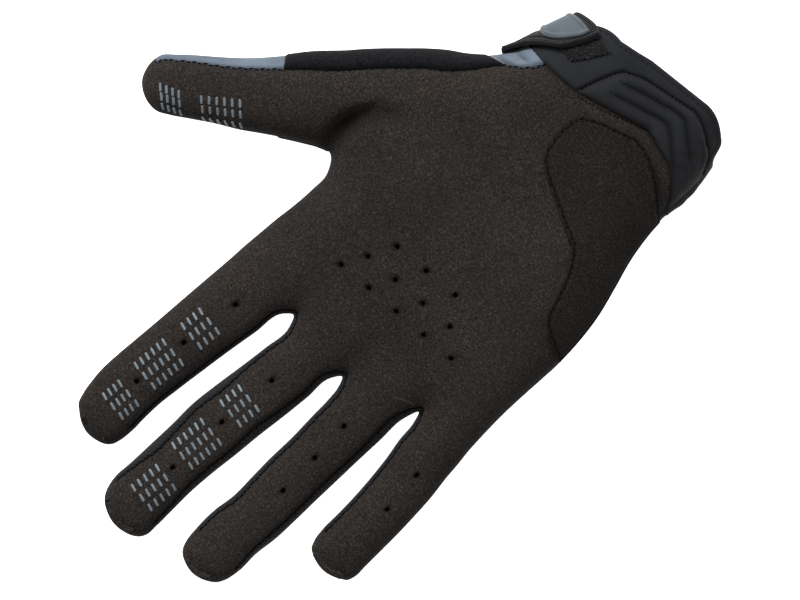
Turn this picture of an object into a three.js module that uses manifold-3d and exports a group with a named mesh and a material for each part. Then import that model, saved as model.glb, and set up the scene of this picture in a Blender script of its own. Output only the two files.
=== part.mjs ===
// A full-finger cycling glove for the right hand, lying palm up, in millimetres.
// +Z is up, +Y runs from the wrist to the fingertips and +X to the thumb side.
// The glove is drawn first as an outline in plan, a row of sections for each digit.
// Every fabric panel is then a thin wall that stands on that outline like an inflated sheet.
import * as THREE from "three";
import { mergeVertices } from "three/addons/utils/BufferGeometryUtils.js";
import Module from "manifold-3d";

const wasm = await Module();
wasm.setup();

// Driving sizes of the hand
const palmWidth = 98;
const palmLength = 128;

// Walls and clearances
const suedeWall = 1.2;
const knitWall = 1.2;
const meshWall = 1;
const terryWall = 1.6;
const neopreneWall = 2;
const seamGap = 0.3;
const layerGap = 0.5;
const heelPadGap = 0.65;
const strapGap = 0.6;

// Pieces sewn on the outside
const heelPadThickness = 1.1;
const ribRise = 1.3;
const loopPileThickness = 1;
const strapThickness = 1.4;
const badgeThickness = 1;
const ventDiameter = 1.7;
const ventSides = 6;

// How finely the panels are divided
const cellsAcross = 4;
const cellsOnSide = 4;
const palmRows = 15;
const webRow = 9;

// Each digit: root is the middle of its first row, as shares of palm width and length, lean is in degrees
// towards the thumb side. In its rows, along is a share of the digit's length, ulnar and radial are how far
// its two edges stand from its axis and crown how far the row bows to the tip, as shares of its width, and
// slant is how far the ulnar end of the row lags behind the radial end. showU and showR are the millimetres
// of side panel that show beside the seam on each edge.
const digits = {
  little: {
    root: [-0.483, 0.531], lean: -8.3, length: 56.2, width: 19.5,
    rows: [
      { along: 0, ulnar: 0.55, radial: 0.482, crown: 0, slant: 0, showU: 2.4, showR: 1.2 },
      { along: 0.12, ulnar: 0.559, radial: 0.472, crown: 0, slant: 0, showU: 2.4, showR: 1.1 },
      { along: 0.25, ulnar: 0.585, radial: 0.43, crown: 0, slant: 0, showU: 2.4, showR: 1.1 },
      { along: 0.4, ulnar: 0.585, radial: 0.405, crown: 0, slant: 0, showU: 2.4, showR: 1.1 },
      { along: 0.55, ulnar: 0.574, radial: 0.4, crown: 0, slant: 0, showU: 2.4, showR: 1.1 },
      { along: 0.7, ulnar: 0.549, radial: 0.415, crown: 0.01, slant: 0, showU: 2.4, showR: 1.1 },
      { along: 0.82, ulnar: 0.528, radial: 0.436, crown: 0.03, slant: 0, showU: 2.2, showR: 1.1 },
      { along: 0.9, ulnar: 0.513, radial: 0.415, crown: 0.06, slant: 0, showU: 2, showR: 1.2 },
      { along: 0.95, ulnar: 0.446, radial: 0.354, crown: 0.08, slant: 0, showU: 1.7, showR: 1.4 },
      { along: 0.968, ulnar: 0.354, radial: 0.28, crown: 0.09, slant: 0, showU: 1.5, showR: 1.5 },
    ],
  },
  ring: {
    root: [-0.243, 0.594], lean: -3.4, length: 81.2, width: 20.5,
    rows: [
      { along: 0, ulnar: 0.55, radial: 0.537, crown: 0, slant: 0.42, showU: 2.5, showR: 1.4 },
      { along: 0.09, ulnar: 0.546, radial: 0.507, crown: 0, slant: 0.15, showU: 2.3, showR: 1.4 },
      { along: 0.2, ulnar: 0.541, radial: 0.49, crown: 0, slant: 0, showU: 1.9, showR: 1.3 },
      { along: 0.33, ulnar: 0.541, radial: 0.463, crown: 0, slant: 0, showU: 2.2, showR: 1.3 },
      { along: 0.45, ulnar: 0.541, radial: 0.463, crown: 0, slant: 0, showU: 2, showR: 1.3 },
      { along: 0.56, ulnar: 0.546, radial: 0.444, crown: 0, slant: 0, showU: 2, showR: 1.4 },
      { along: 0.66, ulnar: 0.541, radial: 0.429, crown: 0, slant: 0, showU: 2.1, showR: 1.6 },
      { along: 0.76, ulnar: 0.502, radial: 0.473, crown: 0.01, slant: 0, showU: 1.6, showR: 1.3 },
      { along: 0.86, ulnar: 0.512, radial: 0.463, crown: 0.03, slant: 0, showU: 1.2, showR: 1.2 },
      { along: 0.93, ulnar: 0.454, radial: 0.424, crown: 0.07, slant: 0, showU: 1.3, showR: 1.3 },
      { along: 0.957, ulnar: 0.39, radial: 0.38, crown: 0.09, slant: 0, showU: 1.4, showR: 1.4 },
      { along: 0.972, ulnar: 0.317, radial: 0.332, crown: 0.112, slant: 0, showU: 1.5, showR: 1.5 },
    ],
  },
  middle: {
    root: [0.022, 0.629], lean: 0, length: 86, width: 21.5,
    rows: [
      { along: 0, ulnar: 0.526, radial: 0.484, crown: 0, slant: 0, showU: 2, showR: 1.3 },
      { along: 0.12, ulnar: 0.52, radial: 0.48, crown: 0, slant: 0, showU: 1.8, showR: 1.2 },
      { along: 0.23, ulnar: 0.512, radial: 0.498, crown: 0, slant: 0, showU: 2.2, showR: 1.5 },
      { along: 0.35, ulnar: 0.493, radial: 0.526, crown: 0, slant: 0, showU: 2.7, showR: 2.5 },
      { along: 0.47, ulnar: 0.488, radial: 0.54, crown: 0, slant: 0, showU: 2, showR: 2.2 },
      { along: 0.58, ulnar: 0.474, radial: 0.502, crown: 0, slant: 0, showU: 2, showR: 2.4 },
      { along: 0.69, ulnar: 0.479, radial: 0.479, crown: 0, slant: 0, showU: 1.9, showR: 2.9 },
      { along: 0.8, ulnar: 0.516, radial: 0.456, crown: 0.02, slant: 0, showU: 1.2, showR: 1.6 },
      { along: 0.88, ulnar: 0.544, radial: 0.447, crown: 0.05, slant: 0, showU: 1.2, showR: 1.2 },
      { along: 0.93, ulnar: 0.549, radial: 0.39, crown: 0.08, slant: 0, showU: 1.3, showR: 1.3 },
      { along: 0.955, ulnar: 0.502, radial: 0.33, crown: 0.1, slant: 0, showU: 1.4, showR: 1.4 },
      { along: 0.97, ulnar: 0.442, radial: 0.27, crown: 0.116, slant: 0, showU: 1.5, showR: 1.5 },
    ],
  },
  index: {
    root: [0.311, 0.617], lean: 0, length: 75, width: 22,
    rows: [
      { along: 0, ulnar: 0.6, radial: 0.55, crown: 0, slant: 0, showU: 1.2, showR: 2.4 },
      { along: 0.15, ulnar: 0.545, radial: 0.545, crown: 0, slant: 0, showU: 1.1, showR: 2.4 },
      { along: 0.3, ulnar: 0.505, radial: 0.54, crown: 0, slant: 0, showU: 1.1, showR: 2.4 },
      { along: 0.44, ulnar: 0.478, radial: 0.534, crown: 0, slant: 0, showU: 1.1, showR: 2.4 },
      { along: 0.57, ulnar: 0.456, radial: 0.533, crown: 0, slant: 0, showU: 1.1, showR: 2.4 },
      { along: 0.68, ulnar: 0.445, radial: 0.532, crown: 0, slant: 0, showU: 1.1, showR: 2.4 },
      { along: 0.77, ulnar: 0.464, radial: 0.517, crown: 0, slant: 0, showU: 1.1, showR: 2.3 },
      { along: 0.84, ulnar: 0.489, radial: 0.475, crown: 0.02, slant: 0, showU: 1.2, showR: 2 },
      { along: 0.9, ulnar: 0.486, radial: 0.42, crown: 0.05, slant: 0, showU: 1.3, showR: 1.8 },
      { along: 0.945, ulnar: 0.452, radial: 0.345, crown: 0.09, slant: 0, showU: 1.4, showR: 1.6 },
      { along: 0.963, ulnar: 0.408, radial: 0.26, crown: 0.122, slant: 0, showU: 1.5, showR: 1.5 },
    ],
  },
  thumb: {
    root: [0.613, 0.166], lean: 46.3, length: 63.7, width: 24,
    rows: [
      { along: 0.05, ulnar: 0.635, radial: 0.68, crown: 0, slant: 0, showU: 2.4, showR: 6.1 },
      { along: 0.11, ulnar: 0.605, radial: 0.655, crown: 0, slant: 0, showU: 2.4, showR: 5.9 },
      { along: 0.2, ulnar: 0.582, radial: 0.612, crown: 0, slant: 0, showU: 2.4, showR: 5 },
      { along: 0.31, ulnar: 0.546, radial: 0.54, crown: 0, slant: 0, showU: 2.4, showR: 4.2 },
      { along: 0.45, ulnar: 0.525, radial: 0.477, crown: 0, slant: 0, showU: 2.4, showR: 3.6 },
      { along: 0.6, ulnar: 0.475, radial: 0.446, crown: 0, slant: 0, showU: 2.4, showR: 3 },
      { along: 0.74, ulnar: 0.446, radial: 0.433, crown: 0.02, slant: 0, showU: 2.2, showR: 2.3 },
      { along: 0.84, ulnar: 0.425, radial: 0.412, crown: 0.05, slant: 0, showU: 2, showR: 1.9 },
      { along: 0.91, ulnar: 0.388, radial: 0.388, crown: 0.1, slant: 0, showU: 1.7, showR: 1.7 },
      { along: 0.945, ulnar: 0.32, radial: 0.325, crown: 0.146, slant: 0, showU: 1.5, showR: 1.5 },
    ],
  },
};

// Crotches between the fingers: how far each drops below the fingers' first rows, and how much of its side
// panel shows, in millimetres
const crotches = {
  ring: { drop: 4.6, show: 1.4, zone: "ringLittle" },
  apex: { drop: 3.3, show: 1.4, zone: "middleRing" },
  seam: { drop: 3.1, show: 1.1, zone: "indexMiddle" },
};

// Edges of the palm from the wrist up, as shares of palm width and length
const ulnarEdge = [
  { x: -0.4, y: -0.301 },
  { x: -0.413, y: -0.234 },
  { x: -0.439, y: -0.156 },
  { x: -0.477, y: -0.078 },
  { x: -0.513, y: 0 },
  { x: -0.536, y: 0.078 },
  { x: -0.55, y: 0.156 },
  { x: -0.555, y: 0.258 },
  { x: -0.561, y: 0.352 },
  { x: -0.572, y: 0.43 },
  { x: -0.582, y: 0.484 },
];
const radialEdge = [
  { x: 0.342, y: -0.312 },
  { x: 0.36, y: -0.266 },
  { x: 0.402, y: -0.213 },
  { x: 0.453, y: -0.172 },
  { x: 0.51, y: -0.135 },
  { x: 0.582, y: -0.073 },
  { x: 0.633, y: -0.027 },
  { x: 0.684, y: 0.023 },
  { x: 0.722, y: 0.063 },
];
const indexEdge = [
  { x: 0.494, y: 0.258 },
  { x: 0.452, y: 0.285 },
  { x: 0.434, y: 0.36 },
  { x: 0.436, y: 0.47 },
  { x: 0.436, y: 0.586 },
];

// Where the lines between the digits' strips of palm meet the wrist seam and the mouth of the cuff.
// The wrist seam is the lower edge of the suede, a chevron with its point on the apex line.
const lines = {
  ulnar: { wrist: [-0.4, -0.301], mouth: [-0.376, -0.473], bulge: -1.2 },
  ring: { wrist: [-0.268, -0.388], mouth: [-0.321, -0.541], bulge: 0 },
  apex: { wrist: [-0.143, -0.402], mouth: [-0.209, -0.566], bulge: 0 },
  seam: { wrist: [0.115, -0.326], mouth: [0.031, -0.529], bulge: 0.7 },
  web: { wrist: [0.194, -0.317], mouth: [0.148, -0.501], bulge: 0 },
  radial: { wrist: [0.342, -0.312], mouth: [0.291, -0.468], bulge: 0.3 },
};
const lineOrder = ["ulnar", "ring", "apex", "seam", "web", "radial"];
// How far, in millimetres, the middle of each strip's edge bows out at the wrist seam and at the mouth
const bows = {
  little: { wrist: [-0.5, -2], mouth: [-0.8, -0.5] },
  ring: { wrist: [0, 0], mouth: [-0.2, -1] },
  middle: { wrist: [0, 0], mouth: [0, 0] },
  index: { wrist: [0, 0], mouth: [0, 0] },
  thumb: { wrist: [0, 0], mouth: [0.4, -0.9] },
};

// Grooves of the cuff panel: share of the way from wrist seam to mouth on each line, one row a groove
const cuffGrooves = [
  { ulnar: 0, ring: 0, apex: 0, seam: 0, web: 0, radial: 0 },
  { ulnar: 0.28, ring: 0.15, apex: 0.31, seam: 0.3, web: 0.3, radial: 0.3 },
  { ulnar: 0.5, ring: 0.42, apex: 0.55, seam: 0.51, web: 0.5, radial: 0.5 },
  { ulnar: 0.76, ring: 0.72, apex: 0.77, seam: 0.71, web: 0.74, radial: 0.75 },
  { ulnar: 1, ring: 1, apex: 1, seam: 1, web: 1, radial: 1 },
];
const ribs = 3;
const cellsPerRib = 3;
const cellsOnHem = 1;
const ribRows = ribs * cellsPerRib;

// How the glove fills out, along the hand and along the thumb. at is a share of palm length or of thumb
// length, middle is the height of the edge above the table, up and down how far the palm and the back stand
// from that height, and round is how far in from the edge the wall keeps turning.
const fullness = [
  { at: -0.57, middle: 17.5, up: 14.5, down: 14.9, round: 19 },
  { at: -0.4, middle: 17, up: 15, down: 14.6, round: 20 },
  { at: -0.27, middle: 15.2, up: 14.8, down: 12.9, round: 21 },
  { at: -0.1, middle: 13.8, up: 13.8, down: 13.8, round: 21 },
  { at: 0, middle: 13, up: 13.2, down: 13, round: 21 },
  { at: 0.3, middle: 11, up: 11, down: 11, round: 19 },
  { at: 0.5, middle: 9, up: 9, down: 9, round: 14.5 },
  { at: 0.6, middle: 8, up: 8, down: 7.8, round: 11.5 },
  { at: 0.75, middle: 8, up: 7.3, down: 7.4, round: 10 },
  { at: 1, middle: 8.3, up: 7, down: 7, round: 9.8 },
  { at: 1.3, middle: 9.2, up: 6.6, down: 6.6, round: 9.5 },
];
const thumbFullness = [
  { at: -0.3, middle: 14.5, up: 13, down: 13.5, round: 20 },
  { at: 0.05, middle: 15, up: 12, down: 11.5, round: 16 },
  { at: 0.3, middle: 15.5, up: 10, down: 10, round: 13 },
  { at: 0.6, middle: 15.5, up: 8.6, down: 8.8, round: 10.8 },
  { at: 1, middle: 15.5, up: 7.6, down: 7.8, round: 9.4 },
];
const backRoundShare = 0.75;
const thumbBlend = { fromAlong: -12, toAlong: 14, fromLateral: -28, toLateral: -17 };

// Folds of the palm: a valley from one point by a middle one to a last one, as shares of palm width and length
const folds = [
  { x0: 0.49, y0: 0.25, xm: 0.58, ym: 0.17, x1: 0.48, y1: 0.07, depth: 3.6, width: 4.6 },
  { x0: 0.16, y0: 0.59, xm: 0.17, ym: 0.53, x1: 0.19, y1: 0.46, depth: 0.9, width: 5 },
  { x0: -0.11, y0: 0.59, xm: -0.11, ym: 0.53, x1: -0.1, y1: 0.45, depth: 0.9, width: 5 },
];

// Vent holes of the palm, as shares of palm width and length, in three slanting rows
const ventRows = [
  { x: -0.302, y: 0.359, stepX: 0.1195, stepY: 0.0155, count: 5 },
  { x: -0.219, y: 0.309, stepX: 0.1193, stepY: 0.0153, count: 4 },
  { x: -0.148, y: 0.246, stepX: 0.125, stepY: 0.0173, count: 3 },
];
// Vent holes of the fingers: share of each digit's length, and distance from its axis in millimetres
const digitVents = [
  { digit: "index", along: 0.135, off: -0.9 },
  { digit: "index", along: 0.415, off: 0.5 },
  { digit: "index", along: 0.685, off: 0.7 },
  { digit: "middle", along: 0.18, off: 0.6 },
  { digit: "middle", along: 0.43, off: 0.8 },
  { digit: "middle", along: 0.685, off: -0.2 },
  { digit: "ring", along: 0.14, off: 0.3 },
  { digit: "ring", along: 0.315, off: -0.6 },
  { digit: "ring", along: 0.5, off: -1.2 },
  { digit: "little", along: 0.215, off: -3 },
  { digit: "little", along: 0.48, off: -3.2 },
];

// Heel pad: the outer end of each row lies on the edge of the hand, the inner end on the stitched line
const heelPadRows = [
  { outer: 0.155, x: -0.49, y: 0.143 },
  { outer: 0.1, x: -0.41, y: 0.112 },
  { outer: 0.06, x: -0.36, y: 0.035 },
  { outer: 0.02, x: -0.318, y: -0.026 },
  { outer: -0.01, x: -0.272, y: -0.064 },
  { outer: -0.04, x: -0.19, y: -0.086 },
  { outer: -0.07, x: -0.1, y: -0.112 },
  { outer: -0.1, x: -0.025, y: -0.134 },
  { outer: -0.13, x: 0.023, y: -0.162 },
  { outer: -0.16, x: 0.043, y: -0.2 },
  { outer: -0.19, x: 0.053, y: -0.25 },
  { outer: -0.215, x: 0.047, y: -0.292 },
  { outer: -0.24, x: 0, y: -0.324 },
  { outer: -0.26, x: -0.07, y: -0.35 },
  { outer: -0.278, x: -0.133, y: -0.373 },
];
const heelPadBow = 0.028;
const heelPadColumns = 7;
const heelPadSteps = 16;

// Closure strap, a row for each place across its width. y is the row's height at the edge of the wrist and
// end its height at the strap's free end, as shares of palm length. reach is how far the free end goes round
// on to the palm side, and lift how far the row stands off the wrist, in millimetres.
const strapRows = [
  { y: -0.466, end: -0.482, reach: 17, lift: 0.1 },
  { y: -0.458, end: -0.47, reach: 20.6, lift: 0.1 },
  { y: -0.438, end: -0.445, reach: 20.6, lift: 0 },
  { y: -0.407, end: -0.407, reach: 19.6, lift: 0 },
  { y: -0.372, end: -0.372, reach: 17.8, lift: 0.4 },
  { y: -0.342, end: -0.342, reach: 13.5, lift: 1.2 },
  { y: -0.31, end: -0.31, reach: 9.5, lift: 1.3 },
  { y: -0.27, end: -0.27, reach: 7.2, lift: 0.8 },
  { y: -0.242, end: -0.242, reach: 5, lift: 0.4 },
];
const strapBackReach = 52;
const strapColumns = 12;
// Distances round the wrist between which the strap comes loose from the back, and rises on to the patch
const looseFrom = -24;
const looseTo = -10;
const patchStepFrom = -2;
const patchStepTo = 8;
const patchRows = [
  { y: -0.462, reach: 26.5 },
  { y: -0.41, reach: 25.5 },
  { y: -0.368, reach: 23.5 },
];
const patchWidth = 11;
// Badge: rows as the strap's, from its palm-side edge to its far edge
const badgeRows = [
  { y: -0.44, end: -0.456, from: 18.4, to: -3 },
  { y: -0.425, end: -0.43, from: 18.3, to: -6.5 },
  { y: -0.4, end: -0.396, from: 16.6, to: -7 },
  { y: -0.378, end: -0.367, from: 14, to: -6 },
  { y: -0.364, end: -0.352, from: 10.3, to: -2 },
];
const badgeColumns = 6;

const share = (point) => [point.x * palmWidth, point.y * palmLength];
const mix = (a, b, t) => a + (b - a) * t;
const mixPoint = (p, q, t) => [mix(p[0], q[0], t), mix(p[1], q[1], t)];
const distance = (p, q) => Math.hypot(p[0] - q[0], p[1] - q[1]);
const ramp = (value, low, high) => THREE.MathUtils.smoothstep(value, low, high);

function unit(v) {
  const length = Math.hypot(...v) || 1;
  return v.map((c) => c / length);
}

// Smooth curve through points, cut into equal steps
function spaced(points, steps) {
  const curve = new THREE.SplineCurve(points.map(([x, y]) => new THREE.Vector2(x, y)));
  curve.arcLengthDivisions = 400;
  return curve.getSpacedPoints(steps).map((v) => [v.x, v.y]);
}

// A row of a table whose "at" lies between two others
function lookUp(table, at) {
  const last = table.length - 1;
  let i = table.findIndex((row) => row.at > at) - 1;
  if (i === -2) i = last - 1;
  i = THREE.MathUtils.clamp(i, 0, last - 1);
  const [a, b] = [table[i], table[i + 1]];
  const t = ramp(at, a.at, b.at);
  return Object.fromEntries(Object.keys(a).map((key) => [key, mix(a[key], b[key], t)]));
}

// The frame of a digit: root, unit vector along it and unit vector to its radial side
function frameOf(digit) {
  const lean = THREE.MathUtils.degToRad(digit.lean);
  return {
    root: [digit.root[0] * palmWidth, digit.root[1] * palmLength],
    along: [Math.sin(lean), Math.cos(lean)],
    radial: [Math.cos(lean), -Math.sin(lean)],
  };
}

// Plan point of a digit at so many millimetres along its axis and to its radial side
function inDigit(digit, along, radial) {
  const f = frameOf(digit);
  return [0, 1].map((i) => f.root[i] + f.along[i] * along + f.radial[i] * radial);
}

// Edge points of one row of a digit, with the way in from each and the bow of the row
function rowEdges(digit, row) {
  const along = row.along * digit.length;
  const lag = (row.slant * digit.width) / 2;
  const ulnar = inDigit(digit, along - lag, -row.ulnar * digit.width);
  const radial = inDigit(digit, along + lag, row.radial * digit.width);
  return { ulnar, radial, across: unit([radial[0] - ulnar[0], radial[1] - ulnar[1]]) };
}

// The stations of the outline, in order from the ulnar side of the wrist round all digits to the radial side.
// Each holds its point, the unit vector that leads in from it, the width of its side strip, and its zone.
const outline = [];
const stationAt = {};
function station(name, point, inward, inset, zone) {
  stationAt[name] = outline.length;
  outline.push({ point, inward, inset, zone });
}

const towards = (p, q) => unit([q[0] - p[0], q[1] - p[1]]);
const wristOf = (line) => share({ x: lines[line].wrist[0], y: lines[line].wrist[1] });
const mouthOf = (line) => share({ x: lines[line].mouth[0], y: lines[line].mouth[1] });
const palmSideInset = 2.4;
const cuffSideInset = 2.2;

// Seam between suede and thumb gusset: way in from the edge at its first stations up from the wrist
const gussetSeam = [
  { dx: -8.3, dy: 0 },
  { dx: -6.6, dy: 0 },
  { dx: -6.3, dy: -2.5 },
  { dx: -3.6, dy: 3.6 },
  { dx: -4.4, dy: 4.8 },
];

// Plan point of the cuff on one line, at a share of the way from wrist seam to mouth
function onCuff(line, part) {
  const p = mixPoint(wristOf(line), mouthOf(line), part);
  return [p[0] + lines[line].bulge * 4 * part * (1 - part), p[1]];
}

// Shares of the way down the cuff for each lattice row, on each line
const cuffRowShares = [];
cuffGrooves.slice(1).forEach((groove, g) => {
  const before = cuffGrooves[g];
  const rows = g < ribs ? cellsPerRib : cellsOnHem;
  for (let i = g === 0 ? 0 : 1; i <= rows; i++)
    cuffRowShares.push(
      Object.fromEntries(lineOrder.map((line) => [line, mix(before[line], groove[line], i / rows)])),
    );
});
const cuffRows = cuffRowShares.length - 1;

for (let j = cuffRows; j > 0; j--) {
  const p = onCuff("ulnar", cuffRowShares[j].ulnar);
  station("cuffU" + j, p, towards(p, onCuff("ring", cuffRowShares[j].ring)), cuffSideInset, "cuff");
}
const ulnarSide = spaced(ulnarEdge.map(share), palmRows);
ulnarSide.forEach((p, j) => {
  const inward = j === 0 ? towards(p, onCuff("ring", 0)) : [1, 0];
  station("palmU" + j, p, inward, palmSideInset, "suede");
});

function crotch(name, lower, upper, { drop, show, zone }) {
  const p = mixPoint(lower, upper, 0.5);
  station(name, [p[0], p[1] - drop], [0, -1], show, zone);
}

// One digit's stations: up its ulnar edge, round the tip and down its radial edge
function digitStations(name, ulnarZone, radialZone, blunt) {
  const digit = digits[name];
  const f = frameOf(digit);
  const last = digit.rows.length - 1;
  digit.rows.forEach((row, j) => {
    const e = rowEdges(digit, row);
    const inward = j === last ? unit([e.across[0] - f.along[0], e.across[1] - f.along[1]]) : e.across;
    station(name + "U" + j, e.ulnar, inward, row.showU, j >= last - blunt ? name + "Tip" : ulnarZone);
  });
  const end = digit.rows[last];
  const e = rowEdges(digit, end);
  for (let i = 1; i < cellsAcross; i++) {
    const u = i / cellsAcross;
    const bow = end.crown * digit.width * 4 * u * (1 - u);
    const p = mixPoint(e.ulnar, e.radial, u).map((c, k) => c + f.along[k] * bow);
    const side = (u - 0.5) * 0.8;
    const inward = unit([-f.along[0] - side * e.across[0], -f.along[1] - side * e.across[1]]);
    station(name + "T" + i, p, inward, 1.5, name + "Tip");
  }
  for (let j = last; j >= 0; j--) {
    const row = digit.rows[j];
    const r = rowEdges(digit, row);
    const back = r.across.map((c) => -c);
    const inward = j === last ? unit([back[0] - f.along[0], back[1] - f.along[1]]) : back;
    const zone = j >= last - blunt ? name + "Tip" : radialZone;
    station(name + "R" + j, r.radial, inward, row.showR, zone);
  }
}

const baseEdges = (name) => rowEdges(digits[name], digits[name].rows[0]);
digitStations("little", "suede", "ringLittle", 2);
crotch("crotchRing", baseEdges("little").radial, baseEdges("ring").ulnar, crotches.ring);
digitStations("ring", "ringLittle", "middleRing", 2);
crotch("crotchApex", baseEdges("ring").radial, baseEdges("middle").ulnar, crotches.apex);
digitStations("middle", "middleRing", "indexMiddle", 2);
crotch("crotchSeam", baseEdges("middle").radial, baseEdges("index").ulnar, crotches.seam);
digitStations("index", "indexMiddle", "suede", 2);
const indexSide = spaced(indexEdge.map(share), palmRows - webRow);
for (let j = palmRows; j >= webRow; j--) {
  const inward = j === webRow ? unit([-0.35, -1]) : unit([-1, j === webRow + 1 ? -0.4 : 0]);
  station("palmI" + j, indexSide[j - webRow], inward, palmSideInset, j === webRow ? "thumbInner" : "suede");
}
digitStations("thumb", "thumbInner", "thumbOuter", 0);
const radialSide = spaced(radialEdge.map(share), webRow);
for (let j = webRow; j >= 0; j--) {
  const run = towards(radialSide[Math.max(j - 1, 0)], radialSide[Math.min(j + 1, webRow)]);
  const way = gussetSeam[j] ? [gussetSeam[j].dx, gussetSeam[j].dy] : [-run[1], run[0]];
  const inset = gussetSeam[j] ? Math.hypot(...way) : digits.thumb.rows[0].showR;
  station("palmR" + j, radialSide[j], unit(way), inset, "thumbOuter");
}
for (let j = 1; j <= cuffRows; j++) {
  const p = onCuff("radial", cuffRowShares[j].radial);
  station("cuffR" + j, p, towards(p, onCuff("web", cuffRowShares[j].web)), cuffSideInset * 2, "cuff");
}

// Distance from a plan point to the outline
function edgeDistance(p) {
  let best = Infinity;
  for (let k = 1; k < outline.length; k++) {
    const [a, b] = [outline[k - 1].point, outline[k].point];
    const [dx, dy] = [b[0] - a[0], b[1] - a[1]];
    const t = THREE.MathUtils.clamp(
      ((p[0] - a[0]) * dx + (p[1] - a[1]) * dy) / (dx * dx + dy * dy), 0, 1);
    best = Math.min(best, Math.hypot(p[0] - a[0] - t * dx, p[1] - a[1] - t * dy));
  }
  return best;
}

// How the glove fills out at a plan point
function fullnessAt(p) {
  const hand = lookUp(fullness, p[1] / palmLength);
  const f = frameOf(digits.thumb);
  const [dx, dy] = [p[0] - f.root[0], p[1] - f.root[1]];
  const along = dx * f.along[0] + dy * f.along[1];
  const lateral = dx * f.radial[0] + dy * f.radial[1];
  const t = thumbBlend;
  const weight = ramp(along, t.fromAlong, t.toAlong) * ramp(lateral, t.fromLateral, t.toLateral);
  const thumb = lookUp(thumbFullness, along / digits.thumb.length);
  return Object.fromEntries(Object.keys(hand).map((key) => [key, mix(hand[key], thumb[key], weight)]));
}

// Rise of the wall at a distance in from the edge, from 0 at the edge to 1 where it lies flat
const swell = (inset, round) => Math.sqrt(1 - (1 - Math.min(inset / round, 1)) ** 2);

const foldPaths = folds.map((fold) => {
  const curve = new THREE.QuadraticBezierCurve(
    new THREE.Vector2(fold.x0 * palmWidth, fold.y0 * palmLength),
    new THREE.Vector2(fold.xm * palmWidth, fold.ym * palmLength),
    new THREE.Vector2(fold.x1 * palmWidth, fold.y1 * palmLength),
  );
  return { ...fold, points: curve.getPoints(16) };
});

// Depth of the folds at a plan point: deepest in the middle of each valley, none at its ends
function foldDepth(p) {
  return foldPaths.reduce((sum, fold) => {
    const depths = fold.points.map((q, i) => {
      const taper = Math.sin((Math.PI * (i + 2)) / (fold.points.length + 3));
      const away = Math.hypot(p[0] - q.x, p[1] - q.y) / fold.width;
      return fold.depth * taper * Math.exp(-away * away);
    });
    return sum + Math.max(...depths);
  }, 0);
}

// Height of the glove at a plan point, on the palm side (1) or the back (-1)
function height(p, side) {
  const full = fullnessAt(p);
  const inset = edgeDistance(p);
  if (side < 0) return full.middle - full.down * swell(inset, full.round * backRoundShare);
  return full.middle + full.up * swell(inset, full.round) - foldDepth(p) * swell(inset, full.round);
}

// The lattice: every point of the outer face, found by its plan point and side, and its cells by panel
const points = [];
const pointKeys = new Map();
const cells = {};
function pointAt(p, side, lift = 0) {
  const key = [p[0].toFixed(3), p[1].toFixed(3), side].join(" ");
  if (!pointKeys.has(key)) {
    pointKeys.set(key, points.length);
    const z = side === 0 ? fullnessAt(p).middle : height(p, side);
    points.push(new THREE.Vector3(p[0], p[1], z + lift * side));
  }
  return pointKeys.get(key);
}
function cell(panel, a, b, c, d) {
  cells[panel] ??= [];
  cells[panel].push([a, b, c], [a, c, d]);
}

// Points of a side strip, from the palm-side seam over the edge to the back seam
const half = cellsOnSide / 2;
const strips = outline.map(({ point, inward, inset }) =>
  Array.from({ length: cellsOnSide + 1 }, (_, m) => {
    const away = Math.abs(m - half) / half;
    const p = point.map((c, i) => c + inward[i] * inset * away * away);
    return { p, id: pointAt(p, Math.sign(half - m)) };
  }),
);
const seamPoint = (name) => strips[stationAt[name]][0].p;

// Which panel a side cell belongs to: zone of its stations, palm half or back half
const thumbTipFrom = 2;
const gussetTo = 2;
function sidePanel(k, m) {
  const palmHalf = m < half;
  const [zone, next] = [outline[k].zone, outline[k + 1].zone];
  const inThumb = (name) => k >= stationAt[name];
  const besideRibs = m === 0 && k >= stationAt["cuffU" + ribRows] && k < stationAt.palmU0;
  if (zone === "cuff" || next === "cuff") return besideRibs ? "cuff_palm_panel" : "cuff_wrap";
  if (zone === "ringLittle" && next === "ringLittle") return "fourchette_ring_little";
  if (zone === "middleRing" && next === "middleRing") return "fourchette_middle_ring";
  if (zone === "indexMiddle" && next === "indexMiddle") return "fourchette_index_middle";
  if (k < stationAt["palmI" + webRow]) return palmHalf ? "palm_panel" : "back_panel";
  const outer = k >= stationAt["thumbR" + (digits.thumb.rows.length - 1)];
  if (palmHalf && !outer) return "palm_panel";
  if (inThumb("palmR" + gussetTo)) return "thumb_gusset";
  if (inThumb("thumbR" + thumbTipFrom)) return "thumb_wipe";
  return k >= stationAt["thumbU" + thumbTipFrom] ? "thumb_tip_back" : "thumb_wipe";
}
for (let k = 0; k + 1 < strips.length; k++)
  for (let m = 0; m < cellsOnSide; m++) {
    const [a, b, c, d] = [strips[k][m], strips[k][m + 1], strips[k + 1][m + 1], strips[k + 1][m]];
    cell(sidePanel(k, m), a.id, d.id, c.id, b.id);
  }

// A band of cells between two rows of plan points, palm side and back
function band(lower, upper, palmSidePanel, backPanel, lifts = [0, 0]) {
  for (let i = 0; i + 1 < lower.length; i++) {
    const corner = (side) => [
      pointAt(lower[i], side, lifts[0]),
      pointAt(lower[i + 1], side, lifts[0]),
      pointAt(upper[i + 1], side, lifts[1]),
      pointAt(upper[i], side, lifts[1]),
    ];
    cell(typeof palmSidePanel === "function" ? palmSidePanel(i) : palmSidePanel, ...corner(1));
    cell(backPanel, ...corner(-1).reverse());
  }
}

// Plan points of a row between two seam points
function across(left, right, bow = [0, 0]) {
  return Array.from({ length: cellsAcross + 1 }, (_, i) => {
    const u = i / cellsAcross;
    return mixPoint(left, right, u).map((c, k) => c + bow[k] * 4 * u * (1 - u));
  });
}

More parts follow.
